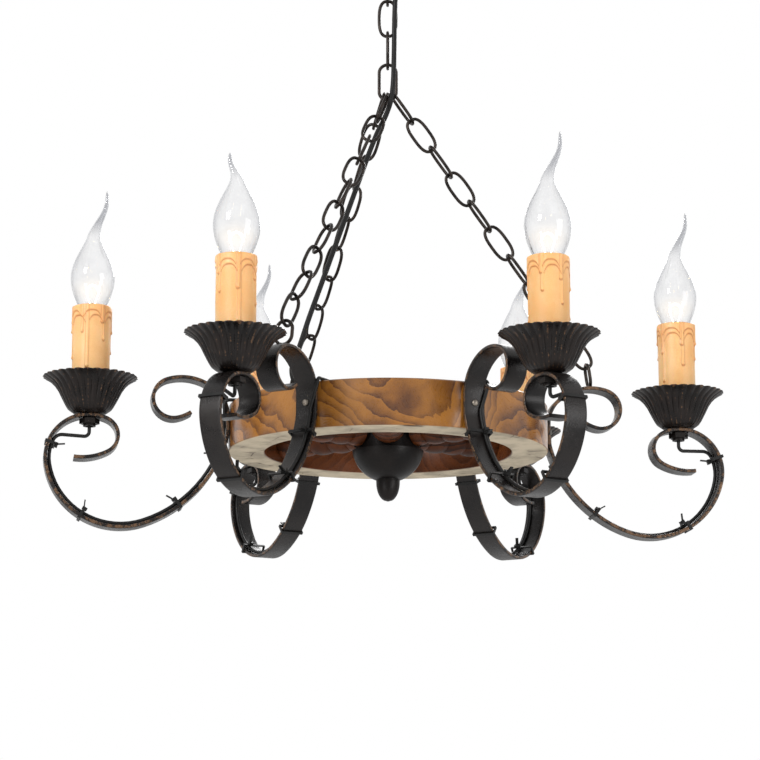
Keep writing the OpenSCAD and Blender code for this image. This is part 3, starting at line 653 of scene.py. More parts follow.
@dataclass(frozen=True)
class Wax:
    """Cream wax look that lets a little light through, with a painted brown shade in the creases of its runs."""

    name: str
    light: Colour
    deep: Colour
    fold_shade: Colour

    def make(self) -> bpy.types.Material:
        """Builds the material.

        Returns:
            The finished material.
        """
        material, g, shader = new_material(self.name)
        mottle = g.add("Group", {"Vector": g.place(), "Broad": 35.0, "Fine": 1300.0}, node_tree=EFFECTS.mottle)
        tone = mottle.outputs["Tone"]
        # The third colour is painted shade, mixed in where the creases of the runs lie.
        g.feed(shader, {
            "Base Color": g.mix(g.read("fold_shade"), g.mix(tone, self.light, self.deep), self.fold_shade),
            "Roughness": g.ramp(tone, 0, 1, (0.42, 0.55)),
            "Normal": g.bump(mottle.outputs["Height"], 0.08, 0.0002),
            "Subsurface Weight": 0.35, "Subsurface Radius": (1.0, 0.5, 0.22), "Subsurface Scale": 0.004,
        })
        return material


@dataclass(frozen=True)
class Glass:
    """Clear lamp glass with a painted grey shade where it turns away and along its tail, and a painted warm glow round
    the filament.
    """

    name: str
    shade: Colour = (0.42, 0.43, 0.46)
    warm: Colour = (1.0, 0.72, 0.34)
    glow: float = 0.085

    def make(self) -> bpy.types.Material:
        """Builds the material.

        Returns:
            The finished material.
        """
        material, g, shader = new_material(self.name)
        haze = g.noise(g.place(), 90.0, 3)
        clear = g.mix(g.ramp(haze, 0.4, 0.7), (0.95, 0.95, 0.952), (0.92, 0.92, 0.925))
        away = g.add("LayerWeight", {"Blend": 0.35}).outputs["Facing"]
        # Painted grey shade: more where the glass turns away from the viewer, and on the tail.
        edge = g.math("MAXIMUM", g.ramp(away, 0.12, 0.9), g.math("MULTIPLY", g.read("tail"), 0.5))
        # A painted warm glow at the filament's height, strongest where the glass faces the viewer.
        ahead = g.math("POWER", g.math("SUBTRACT", 1.0, away, clamp=True), 7.0)
        lit = g.math("MULTIPLY", g.read("near"), ahead)
        g.feed(shader, {
            "Base Color": g.mix(edge, clear, self.shade), "Roughness": g.ramp(haze, 0.3, 0.8, (0.0, 0.02)),
            "Emission Color": g.mix(lit, (0.0, 0.0, 0.0), self.warm), "Emission Strength": self.glow,
            "Transmission Weight": 1.0, "IOR": 1.45,
        })
        return material


@dataclass(frozen=True)
class Glow:
    """A hot filament."""

    name: str
    colour: Colour
    strength: float

    def make(self) -> bpy.types.Material:
        """Builds the material.

        Returns:
            The finished material.
        """
        material, g, shader = new_material(self.name)
        coil = g.noise(g.place(), 3000.0, 1)
        hot = g.mix(g.ramp(coil, 0.4, 0.6), self.colour, tuple(0.8 * c for c in self.colour))
        g.feed(shader, {"Emission Color": hot, "Base Color": hot, "Emission Strength": self.strength})
        return material


class Finishes:
    """Every finish of the chandelier."""

    def __init__(self) -> None:
        """Mixes them all."""
        bronze = (0.13, 0.072, 0.038)
        self.iron = Finish(
            "iron", (0.0055, 0.0047, 0.0047), (0.014, 0.011, 0.0098), bronze, rough=0.29, rough_span=0.2, metal=0.3,
            broad=45, fine=1100, bump=0.6, bump_height=0.0003, spread=0.4, edge="edge", specular=0.36).make()
        self.dark_metal = Finish(
            "dark_metal", (0.0045, 0.0038, 0.0037), (0.011, 0.0085, 0.0075), bronze, rough=0.37, metal=0.3,
            broad=50, fine=1000, bump=0.45, spread=0.2, specular=0.2).make()
        self.chain = Finish(
            "chain", (0.01, 0.008, 0.0072), (0.04, 0.031, 0.026), (0.22, 0.17, 0.13), rough=0.32, metal=0.6,
            broad=150, fine=1500, bump=0.4, spread=0.6, specular=0.3).make()
        self.dish = Finish(
            "dish", (0.0045, 0.0034, 0.0031), (0.012, 0.0082, 0.0068), (0.11, 0.06, 0.032), rough=0.32, metal=0.3,
            broad=70, fine=1200, bump=0.5, spread=0.5, edge="edge", specular=0.28).make()
        self.screw = Finish(
            "screw", (0.3, 0.27, 0.23), (0.2, 0.17, 0.14), (0.5, 0.46, 0.4), rough=0.4, metal=0.9,
            spread=0.3).make()
        self.steel = Finish(
            "steel", (0.62, 0.61, 0.58), (0.5, 0.49, 0.47), rough=0.32, metal=1.0, broad=90, bump=0.1).make()
        self.bracket = Finish(
            "bracket", (0.6, 0.61, 0.6), (0.45, 0.46, 0.47), rough=0.42, metal=1.0, broad=120, bump=0.1).make()
        self.plastic = Finish(
            "black_plastic", (0.006, 0.006, 0.006), (0.014, 0.0135, 0.013), rough=0.42, broad=80, bump=0.1,
            specular=0.2).make()
        self.rubber = Finish(
            "cord_sheath", (0.006, 0.006, 0.006), (0.013, 0.0125, 0.012), rough=0.45, broad=90, fine=1600,
            bump=0.25, specular=0.18).make()
        self.ceramic = Finish("holder", (0.83, 0.81, 0.75), (0.76, 0.73, 0.66), rough=0.3, bump=0.08).make()
        self.brass = Finish("brass", (0.72, 0.53, 0.22), (0.6, 0.42, 0.16), rough=0.28, metal=1.0, bump=0.1).make()
        lean = (math.radians(64), math.radians(18), math.radians(20))
        self.rim_wood = Wood(
            "rim_wood", (0.35, 0.14, 0.019), (0.085, 0.025, 0.005), tilt=lean, offset=(0.06, 0.03, 0.13),
            rings=28, bow=2.8, coat=0.3, raw=(0.5, 0.42, 0.3), raw_below=WHEEL_Z * MM,
            # The inside colour is painted shade on the rim's inner wall.
            inside=(0.13, 0.036, 0.009), inner_radius=0.099).make()
        self.spoke_wood = Wood(
            "spoke_wood", (0.1, 0.027, 0.0065), (0.022, 0.006, 0.002), tilt=(1.2, 0.3, 0.4),
            offset=(0.03, 0.0, 0.0), rings=40, gloss=0.42, coat=0.0, specular=0.12).make()
        self.wax = Wax("wax", (0.86, 0.5, 0.22), (0.78, 0.4, 0.145), (0.42, 0.14, 0.028)).make()
        self.glass = Glass("glass").make()
        self.glow = Glow("filament", (1.0, 0.78, 0.42), 14.0).make()


# ---------------------------------------------------------------- chain and cord


@dataclass(frozen=True)
class SupplyCord:
    """The black supply cord, from the canopy past the chain and down to the hub."""

    diameter: float = 4.2
    sides: int = 14
    route: tuple[Point, ...] = (
        (12, -8, -30), (11.5, -8, -38), (10, -7.8, -47), (8.3, -7.5, -57), (7, -7.2, -67), (6.2, -7, -78),
        (5.8, -7, -89), (5.5, -7, -100), (5.4, -7.2, -111), (5.2, -8, -122), (5, -9.1, -133), (4.7, -10.1, -144),
        (4, -10, -154), (2.7, -8, -163), (0.1, -5.1, -171), (-3.4, -2.8, -179), (-8, -2, -188), (-12.2, -4, -199),
        (-18, -7.5, -216), (-25.5, -12.5, -239), (-33, -17.5, -262), (-40.5, -22.5, -285), (-48, -27.5, -308),
        (-55.5, -32.5, -331), (-63, -37.5, -354), (-69.5, -42, -376), (-74.9, -45.5, -392.4), (-75.8, -46.4, -399.2),
        (-74.2, -46.4, -405.9), (-70.3, -45.4, -411.6), (-64.8, -43.6, -415.4), (-58.5, -41.2, -416.7),
        (-49, -37.5, -416.7), (-40, -34, -416.7), (-31, -30.5, -416.7), (-24, -27, -416.7), (-18, -23, -416.7),
    )
    bodies: tuple[str, ...] = ("canopy", "link_4", "link_3", "link_2", "link_1", "wheel")
    hinges: tuple[float, ...] = (-51, -78, -105.65, -133.3, -160.95)
    cuts: tuple[float, ...] = (-62, -94, -126, -158)

    def smooth(self) -> list[Vector]:
        """The route as close points on one smooth curve, in metres."""
        p = [mm(*q) for q in self.route]
        p = [2 * p[0] - p[1], *p, 2 * p[-1] - p[-2]]
        line = []
        for a, b, c, d in zip(p, p[1:], p[2:], p[3:]):
            for k in range(6):
                t = k / 6
                square, cube = 2 * a - 5 * b + 4 * c - d, 3 * b - 3 * c + d - a
                line.append(0.5 * (2 * b + (c - a) * t + square * t**2 + cube * t**3))
        return [*line, p[-2]]

    def stretches(self) -> list[list[Vector]]:
        """The smooth route cut at the heights between two hinges."""
        line, parts, part = self.smooth(), [], []
        levels = [z * MM for z in self.cuts]
        for point in line:
            part.append(point)
            if levels and point.z < levels[0]:
                parts.append(part)
                part = [point]
                levels.pop(0)
        return [*parts, part]

    def build(self, finish: bpy.types.Material) -> None:
        """Makes the cord in stretches, cut at the heights between the chain's hinges.

        Args:
            finish: The sheath's material.
        """
        for k, line in enumerate(self.stretches()):
            obj = wire(f"supply_cord_{k + 1}", line, self.diameter / 2 * MM, 3, 50)
            obj.data.materials.clear()
            obj.data.materials.append(finish)
            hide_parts("supply_cord")
            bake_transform(obj)


@dataclass(frozen=True)
class OvalLink:
    """A link bent from round wire, its long sides bowed, as cast and drawn chain has them."""

    bow: float = 2.2
    around: int = 44
    section: int = 12

    def blank(self, length: float, breadth: float, wire: float) -> bpy.types.Object:
        """A link at the origin, long side in X, broad side in Y.

        Args:
            length: Outer length in metres.
            breadth: Outer breadth.
            wire: The wire's diameter.

        Returns:
            The link.
        """
        bench = Bench("link_blank")
        ring = breadth
        bpy.ops.mesh.primitive_torus_add(
            major_radius=ring, minor_radius=wire / 2, major_segments=self.around, minor_segments=self.section)
        a, b = (length - wire) / 2, (breadth - wire) / 2
        power = 2 / self.bow

        def bend(v: Vector) -> Vector:
            """Bends the ring to a bowed oval and keeps the wire round."""
            t = math.atan2(v.y, v.x)
            c, s = math.cos(t), math.sin(t)
            x, y = math.copysign(abs(c) ** power, c), math.copysign(abs(s) ** power, s)
            steep = self.bow - 1
            slope = (math.copysign(abs(x) ** steep / a, x), math.copysign(abs(y) ** steep / b, y), 0)
            out = Vector(slope).normalized()
            return Vector((a * x, b * y, v.z)) + out * (v.xy.length - ring)

        bench.reshape(bend)
        return bench.take(60)

    def guides(self, node: str) -> list[tuple[Matrix, Vector]]:
        """Where the links of a node hang, and their length, breadth and wire.

        Args:
            node: The frame's node.

        Returns:
            A place and a size for each link.
        """
        guide = copy_of(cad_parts[node], "link_guide", Matrix())
        guide.parent = None
        Bench("link_guide")
        bpy.context.view_layer.objects.active = guide
        guide.select_set(True)
        bpy.ops.object.mode_set(mode="EDIT")
        bpy.ops.mesh.select_all(action="SELECT")
        bpy.ops.mesh.remove_doubles(threshold=1e-5)
        bpy.ops.mesh.separate(type="LOOSE")
        bpy.ops.object.mode_set(mode="OBJECT")
        found = []
        for part in list(bpy.context.selected_objects):
            points = np.array([v.co for v in part.data.vertices])
            _, axes = np.linalg.eigh(np.cov((points - points.mean(axis=0)).T))
            axes = axes[:, ::-1]
            axes[:, 2] = np.cross(axes[:, 0], axes[:, 1])
            local = points @ axes
            low, high = local.min(axis=0), local.max(axis=0)
            place = Matrix(axes.tolist()).to_4x4()
            place.translation = Vector((axes @ ((low + high) / 2)).tolist())
            found.append((place, Vector((high - low).tolist())))
            bpy.data.objects.remove(part)
        return found

    def build(self, node: str, body: str, finish: bpy.types.Material) -> None:
        """Hangs oval links in a node's place.

        Args:
            node: The frame's node.
            body: Its body.
            finish: The links' material.
        """
        links = []
        for place, size in self.guides(node):
            blank = self.blank(*size)
            blank.data.transform(place)
            links.append(blank)
        Bench(node)
        for link in links:
            link.select_set(True)
        bpy.context.view_layer.objects.active = links[0]
        if len(links) > 1:
            bpy.ops.object.join()
        obj = bpy.context.view_layer.objects.active
        obj.name = obj.data.name = f"oval_{node}"
        place_piece(obj, body, finish, "chain", node)


@dataclass(frozen=True)
class Suspension:
    """The ceiling mount and the chain that hangs from it."""

    links: tuple[int, ...] = (1, 2, 3, 4)
    slings: tuple[int, ...] = (1, 3, 5)

    def build(self, finishes: Finishes) -> None:
        """Dresses the mount and the chain.

        Args:
            finishes: Where the materials come from.
        """
        dress(finishes.bracket, "ceiling_bracket")
        dress(finishes.dark_metal, "canopy", "canopy_loop")
        dress(finishes.screw, "canopy_screws")
        dress(finishes.plastic, "cord_grommet")
        dress(finishes.chain, "chain_eyes", "main_link_1")
        oval = OvalLink(bow=2.8)
        main = OvalLink(bow=2.7)
        for i in self.links[1:]:
            main.build(f"main_link_{i}", f"link_{i}", finishes.chain)
        for i in self.slings:
            oval.build(f"sling_{i}", "wheel", finishes.chain)


# ---------------------------------------------------------------- wheel


@dataclass(frozen=True)
class Wheel:
    """The wooden rim, its turned spokes and the metal hub."""

    spokes: int = 6
    bead_radius: float = 14.0
    groove: float = 2.4
    pitch: float = 17.0
    start: float = 26.2
    stop: float = 97.9
    tenon: float = 5.0
    tenon_reach: float = 107.0
    axis_z: float = 18.5
    steps: int = 72

    def radius(self, x: float) -> float:
        """The spoke's radius at a distance from the wheel's middle, in millimetres."""
        wave = math.sin(math.radians(180 * (x - self.start) / self.pitch + 85))
        return self.bead_radius - self.groove + self.groove * math.sqrt(abs(wave))

    def spoke(self) -> bpy.types.Object:
        """A spoke on the lathe, standing on the Z axis."""
        bench = Bench("spoke_blank")
        reach = [self.start + (self.stop - self.start) * k / self.steps for k in range(self.steps + 1)]
        body = [(self.radius(x), x) for x in reach]
        stations = [(0.3, self.start - 6), (self.tenon, self.start - 6), (self.tenon, self.start), *body,
                    (self.tenon, self.stop), (self.tenon, self.tenon_reach), (0.3, self.tenon_reach)]
        rows = bench.turn_up(stations, 56)
        for end in (rows[0], rows[-1]):
            bench.close(lambda v: abs(v.z - end[1]) < SAME and v.xy.length < 4e-4)
        bench.tidy()
        return bench.take(50)

    def build(self, finishes: Finishes) -> None:
        """Makes the spokes and dresses the rest.

        Args:
            finishes: Where the materials come from.
        """
        dress(finishes.rim_wood, "wheel_rim")
        dress(finishes.dark_metal, "hub", "hub_cover", "finial")
        dress(finishes.steel, "hub_rod")
        blank = self.spoke()
        for i in range(1, self.spokes + 1):
            turn = Matrix.Rotation(math.radians((i - 0.5) * 360 / self.spokes), 4, "Z")
            place = Matrix.Translation(mm(0, 0, WHEEL_Z + self.axis_z)) @ turn @ Matrix.Rotation(math.pi / 2, 4, "Y")
            spoke = copy_of(blank, f"turned_spoke_{i}", place)
            place_piece(spoke, "wheel", finishes.spoke_wood, "spoke_wood", f"spoke_{i}")
        bpy.data.objects.remove(blank)


# ---------------------------------------------------------------- arms


@dataclass(frozen=True)
class ScrollArm:
    """One flat iron strap: an upper scroll, a stretch against the rim, and the lower sweep."""

    number: int
    turn: float
    size: float
    width: float = 18.0
    thickness: float = 2.95
    strap_u: float = 129.8
    flat_top: float = 26.0
    flat_bottom: float = 14.0
    corner: float = 0.7

    crest = ((27, -47), (40, -43))
    curl = ((40, -18), (16, -176), (32, -20))
    sweep = ((25, 15), (100, 56), (59, 99), (34, 100))
    tail = ((34, 24), (14.5, 128), (45, 35))

    def lower(self) -> list[tuple[float, float]]:
        """The lower run's arcs in this arm's own size, in millimetres."""
        return [(r * self.size, a) for r, a in (*self.sweep, *self.tail)]

    def seat(self) -> tuple[float, float]:
        """Distance from the wheel's middle and height of the dish's seat on the strap's middle line."""
        p = (self.strap_u, self.flat_bottom, -90.0)
        for radius, turn in self.lower()[: len(self.sweep)]:
            p = arc_end(p, radius, turn)
        return p[0], p[1]

    def end(self, start: tuple[float, float, float], arcs: Iterable[tuple[float, float]]) -> tuple[float, float, float]:
        """Where a run of arcs ends, in metres."""
        for radius, turn in arcs:
            start = arc_end(start, radius, turn)
        return start[0] * MM, start[1] * MM, start[2]

    def build(self, finish: bpy.types.Material) -> None:
        """Bends the strap and places it.

        Args:
            finish: The iron's material.
        """
        bench = Bench(f"scroll_arm_{self.number}")
        bpy.ops.mesh.primitive_plane_add(size=1, location=mm(self.strap_u, 0, self.flat_top))
        bpy.ops.transform.resize(value=(self.thickness * MM, self.width * MM, 1))
        bpy.ops.object.transform_apply(location=True, scale=True)
        bench.edit()
        bpy.ops.mesh.select_all(action="SELECT")
        bpy.ops.mesh.delete(type="ONLY_FACE")
        bpy.ops.mesh.select_all(action="SELECT")
        bpy.ops.mesh.bevel(offset=self.corner * MM, segments=3, affect="VERTICES")
        side = (self.width / 2 - self.corner - 0.05) * MM
        for x in (-1, 1):
            edge = (self.strap_u + x * self.thickness / 2) * MM
            bench.pick(lambda v: abs(v.x - edge) < SAME and abs(v.y) > side, "EDGE")
            bpy.ops.mesh.subdivide(number_cuts=9)
        scroll = [(r * MM, a) for r, a in (*self.crest, *self.curl)]
        drop = [(r * MM, a) for r, a in self.lower()]
        top, bottom = self.flat_top * MM, self.flat_bottom * MM
        bench.pick(lambda v: True, "EDGE")
        bench.spin_run((self.strap_u * MM, top, 90.0), scroll, 2.5 * MM)
        near = (self.strap_u - self.thickness) * MM, (self.strap_u + self.thickness) * MM
        bench.pick(lambda v: abs(v.z - top) < SAME and near[0] < v.x < near[1], "EDGE")
        bpy.ops.mesh.extrude_region_move(TRANSFORM_OT_translate={"value": (0, 0, bottom - top)})
        bench.spin_run((self.strap_u * MM, bottom, -90.0), drop, 2.5 * MM)
        for tip in (self.end((self.strap_u, self.flat_top, 90.0), (*self.crest, *self.curl)),
                    self.end((self.strap_u, self.flat_bottom, -90.0), self.lower())):
            along = Vector((math.cos(math.radians(tip[2])), 0, math.sin(math.radians(tip[2]))))
            centre = Vector((tip[0], 0, tip[1]))
            bench.cap(lambda v: abs((v - centre).dot(along)) < 1e-5 and (v - centre).xz.length < 2.2 * MM)
        bench.tidy()
        obj = bench.take(35)
        self.mark_edges(obj)
        self.hammer(obj)
        place = Matrix.Translation(mm(0, 0, WHEEL_Z)) @ Matrix.Rotation(math.radians(self.turn), 4, "Z")
        obj.data.transform(place)
        place_piece(obj, "wheel", finish, "iron", f"arm_{self.number}")

    def mark_edges(self, obj: bpy.types.Object) -> None:
        """Writes how near each point is to the strap's long edges, for the rubbed coat."""
        half, fade = self.width / 2 * MM, 0.9 * MM
        write_values(obj, "edge", [0.75 * max(0.0, 1 - (half - abs(v.co.y)) / fade) for v in obj.data.vertices])

    def hammer(self, obj: bpy.types.Object) -> None:
        """Lets the strap's edges waver a little, as forged iron does."""
        for vertex in obj.data.vertices:
            swing = noise.noise(vertex.co * 38 + Vector((self.number * 7.3, 0, 0)))
            vertex.co.y *= 1 + 0.012 * (swing - 0.6)


# ---------------------------------------------------------------- lamps


class Coat(Enum):
    """The two coats of wax: arch height under the top, fall of the arches and a run's length, in millimetres."""

    UNDER = (9.0, 11.0, 40.0)
    OVER = (5.0, 9.0, 21.0)


@dataclass(frozen=True)
class CandleLamp:
    """A fluted dish, its wax sleeve and a flame-tip lamp, on one arm's seat."""

    arm: ScrollArm
    tail_side: float
    tail_share: float
    dish_radius: float = 37.6
    dish_height: float = 29.0
    dish_hole: float = 5.3
    dish_wall: float = 1.1
    flutes: int = 30
    flute_depth: float = 1.8
    sleeve_radius: float = 14.9
    sleeve_bore: float = 13.7
    sleeve_base: float = 5.2
    sleeve_top: float = 86.2
    glass_base: float = 75.3
    belly_z: float = 109.98
    shoulder_z: float = 144.2
    neck: float = 6.4
    belly: float = 17.5
    tip: float = 5.2
    tail_height: float = 38.0
    tail_bend: float = 10.0
    filament_z: float = 99.0

    profile = ((0, 0.33), (0.06, 0.4), (0.12, 0.46), (0.2, 0.502), (0.3, 0.545), (0.45, 0.605), (0.62, 0.67),
               (0.76, 0.745), (0.87, 0.83), (0.95, 0.925), (1, 1))

    def place(self) -> Matrix:
        """Where the lamp stands: on the strap's top, turned with the arm."""
        u, z = self.arm.seat()
        turn = Matrix.Rotation(math.radians(self.arm.turn), 4, "Z")
        return turn @ Matrix.Translation(mm(u, 0, WHEEL_Z + z + self.arm.thickness / 2))

    def upright(self) -> Matrix:
        """The same place without the arm's turn."""
        return Matrix.Translation(self.place().translation)

    def dish(self) -> bpy.types.Object:
        """A dish drawn out on the lathe, fluted, and given its wall."""
        bench = Bench(f"fluted_dish_{self.arm.number}")
        wall = ((s * self.dish_radius, h * self.dish_height) for h, s in self.profile)
        bench.turn_up([(self.dish_hole, 0.0), *wall], self.flutes * 8)
        bench.tidy()
        top = self.dish_height * MM

        def flute(v: Vector) -> Vector:
            """Draws the wall in and out, deeper towards the rim, with sharper ridges than hollows."""
            share = max(0.0, v.z / top)
            angle = math.atan2(v.y, v.x)
            swing = abs(math.cos(angle * self.flutes / 2)) ** 0.75
            depth = self.flute_depth * MM * share**0.75
            r = v.xy.length
            k = (r - depth * (1 - swing)) / r if r > 0 else 1
            return Vector((v.x * k, v.y * k, v.z + (swing - 0.5) * depth * 0.16 * (share > 0.01)))

        bench.reshape(flute)
        bench.modify("SOLIDIFY", thickness=self.dish_wall * MM, offset=-1.0, use_even_offset=True)
        obj = bench.take(55)
        values = []
        for vertex in obj.data.vertices:
            share = max(0.0, vertex.co.z / top)
            ridge = abs(math.cos(math.atan2(vertex.co.y, vertex.co.x) * self.flutes / 2)) ** 6
            values.append(min(1.0, ridge * 0.55 + max(0.0, share - 0.96) * 5))
        write_values(obj, "edge", values)
        return obj

    def runs(self, coat: Coat) -> list[tuple[float, float, float]]:
        """Wax runs of one coat: direction, length and half width, in order round the sleeve."""
        found = []
        for k in range(6):
            wobble = noise.noise(Vector((k * 3.1, self.arm.number * 5.7, coat.value[0])))
            length = coat.value[2] * (1 + 0.3 * math.sin(2.2 * k + self.arm.number) + 0.2 * wobble)
            turn = 60 * k + 12 * wobble + 31 * self.arm.number + (5 if coat is Coat.UNDER else 0)
            found.append((math.radians(turn % 360), length, 1.45 + 0.35 * wobble))
        return sorted(found)

    def edge_of(self, coat: Coat, runs: list[tuple[float, float, float]], angle: float) -> tuple[float, float]:
        """The coat's lower edge at an angle.

        Args:
            coat: Which coat.
            runs: Its runs.
            angle: The angle in radians.

        Returns:
            The edge's height in millimetres, and how far the angle lies inside a run, from 0 to 1.
        """
        a = angle % math.tau
        before = max((q for q, _, _ in runs if q <= a), default=runs[-1][0] - math.tau)
        after = min((q for q, _, _ in runs if q > a), default=runs[0][0] + math.tau)
        t = (a - before) / (after - before)
        height, fall, _ = coat.value
        best, within = self.sleeve_top - height - fall * abs(2 * t - 1) ** 3, 0.0
        for q, length, half in runs:
            off = abs((a - q + math.pi) % math.tau - math.pi) * self.sleeve_radius
            if off < half:
                end = self.sleeve_top - length + half - math.sqrt(half**2 - off**2)
                if end < best:
                    best, within = end, 1 - off / half
        return best, within

    def sleeve(self) -> bpy.types.Object:
        """A wax sleeve: drawn up as a tube, then two coats of wax are laid over it point by point."""
        bench = Bench(f"wax_sleeve_{self.arm.number}")
        low, top, r, bore = self.sleeve_base, self.sleeve_top, self.sleeve_radius, self.sleeve_bore
        rise = [low + (top - 1.2 - low) * k / 110 for k in range(111)]
        lip = [(r - 0.15, top - 0.55), (r - 0.45, top - 0.12), (r - 0.8, top), (bore + 0.1, top - 0.3)]
        inner = [(bore, top - 1), (bore, top - 12), (bore, low + 0.02)]
        bench.turn_up([(bore, low + 0.01), (r, low), *((r, z) for z in rise[1:]), *lip, *inner], 180)
        bench.tidy()
        runs = {coat: self.runs(coat) for coat in Coat}
        fold_shades: list[float] = []

        def lay(v: Vector) -> Vector:
            """Lays the wax over the tube and keeps a mask of painted shade in its creases."""
            z, reach = v.z / MM, v.xy.length / MM
            if reach < r - 0.9 or z < low + 1:
                fold_shades.append(0.0)
                return v
            angle = math.atan2(v.y, v.x)
            grow = fold_shade = 0.0
            for coat in Coat:
                edge, within = self.edge_of(coat, runs[coat], angle)
                body = max(0.0, min(1.0, (z - edge) / 0.9))
                bead = math.exp(-((z - edge - 1.1) ** 2))
                drop = math.exp(-(((z - edge - 1.7) / 1.6) ** 2)) * within
                grow += (0.3 + 0.4 * within) * body * body * (3 - 2 * body) + 0.3 * bead + 0.3 * drop
                # Painted shade along each coat's lower edge and beside each run.
                fold_shade = max(fold_shade, 1.0 - abs(z - edge + 0.1) / 0.95)
                if 0 < within < 0.35 and z > edge:
                    fold_shade = max(fold_shade, 0.45)
            fold_shades.append(min(1.0, fold_shade))
            k = (reach + grow + 0.12 * noise.noise(v * 90 + Vector((self.arm.number, 0, 0)))) / reach
            return Vector((v.x * k, v.y * k, v.z))

        bench.reshape(lay)
        obj = bench.take(60)
        write_values(obj, "fold_shade", fold_shades)
        return obj

    def glass_outline(self) -> list[tuple[float, float]]:
        """Stations of the glass: a full belly, then a long flame shoulder, in millimetres."""
        below = [(self.neck + (self.belly - self.neck) * math.sin(math.pi / 2 * k / 14) ** 1.2,
                  self.glass_base + (self.belly_z - self.glass_base) * k / 14) for k in range(15)]
        above = [(self.tip + (self.belly - self.tip) * ((1 + math.cos(math.pi * k / 22)) / 2) ** 0.62,
                  self.belly_z + (self.shoulder_z - self.belly_z) * k / 22) for k in range(1, 22)]
        return [*below, *above]

    def glass(self) -> bpy.types.Object:
        """The lamp's envelope: belly and shoulder on the lathe, then the tail drawn out and bent."""
        bench = Bench(f"lamp_glass_{self.arm.number}")
        outline = self.glass_outline()
        base, length = self.shoulder_z - 2, self.tail_height * self.tail_share + 2
        rise = [k / 16 for k in range(1, 17)]
        tail = [(max(0.3, (self.tip - 0.8) * (1 - t) ** 2.2 + 1.5 * (1 - 0.6 * t**9)), base + length * t)
                for t in rise]
        last = outline[-1]
        tail = [(r, z) for r, z in tail if z > last[1] + 0.8]
        stations = [(r * MM, z * MM) for r, z in (*outline, *tail)]

        def lean(k: int) -> float:
            """Side step of the tail at a station."""
            z = stations[k][1] / MM
            t = max(0.0, (z - base) / length)
            return self.tail_bend * self.tail_share * MM * (1 - math.cos(math.pi * min(1, 1.25 * t))) / 2

        bench.circle(*stations[0], 48)
        bench.draw_up(stations, lean)
        end = stations[-1][1]
        bench.close(lambda v: v.z > end - SAME)
        bench.close(lambda v: v.z < stations[0][1] + SAME)
        bench.tidy()
        bench.modify("SOLIDIFY", thickness=0.5 * MM, offset=-1.0)
        obj = bench.take(60)
        heights = [v.co.z / MM for v in obj.data.vertices]
        # A painted warm glow on the glass, falling off above and below the filament.
        write_values(obj, "near", [math.exp(-(((z - self.filament_z) / 6.5) ** 2)) for z in heights])
        # Painted grey shade that grows along the tail.
        write_values(obj, "tail", [max(0.0, min(1.0, (z - self.shoulder_z) / 14)) for z in heights])
        obj.data.transform(Matrix.Rotation(math.radians(self.tail_side), 4, "Z"))
        return obj

    def stem(self) -> bpy.types.Object:
        """The glass stem that carries the filament, on the lathe."""
        bench = Bench(f"lamp_stem_{self.arm.number}")
        z = self.glass_base + 1.2
        rise = ((0.2, 0), (4.6, 0), (4.2, 3), (2.4, 6), (2.1, 9), (2.4, 11), (1.2, 13), (0.2, 13.6))
        rows = bench.turn_up([(r, z + h) for r, h in rise], 24)
        bench.close(lambda v: v.z > rows[-1][1] - SAME)
        bench.close(lambda v: v.z < rows[0][1] + SAME and v.xy.length < 3e-4)
        bench.tidy()
        return bench.take(60)

    def filament(self) -> bpy.types.Object:
        """A coiled filament bowed between its two supports."""
        z = self.filament_z - 11
        line = [Vector((-0.8, 0, z - 2)), Vector((-4.8, 0, z + 10))]
        for k in range(97):
            t = k / 96
            bow = math.pi * (1 - t)
            centre = Vector((4.8 * math.cos(bow), 0, z + 10 + 6.5 * math.sin(bow)))
            wind = math.tau * 16 * t
            out = math.cos(wind)
            line.append(centre + 0.55 * Vector((math.cos(bow) * out, math.sin(wind), math.sin(bow) * out)))
        line += [Vector((4.8, 0, z + 10)), Vector((0.8, 0, z - 2))]
        return wire(f"lamp_filament_{self.arm.number}", [p * MM for p in line], 0.3 * MM, 2, 60)

    def build(self, finishes: Finishes) -> None:
        """Makes and places the whole lamp.

        Args:
            finishes: Where the materials come from.
        """
        n = self.arm.number
        for made, body, finish, slot, node in (
            (self.dish(), "wheel", finishes.dish, "dish", f"dish_{n}"),
            (self.sleeve(), "wheel", finishes.wax, "wax", f"sleeve_{n}"),
            (self.glass(), f"lamp_{n}_glass", finishes.glass, "glass", f"bulb_glass_{n}"),
            (self.stem(), f"lamp_{n}_glass", finishes.glass, "glass", ""),
            (self.filament(), f"lamp_{n}_glass", finishes.glow, "glass", ""),
        ):
            made.data.transform(self.place() if body == "wheel" else self.upright())
            place_piece(made, body, finish, slot, *([node] if node else []))
        dress(finishes.brass, f"bulb_cap_{n}")


# ---------------------------------------------------------------- studio


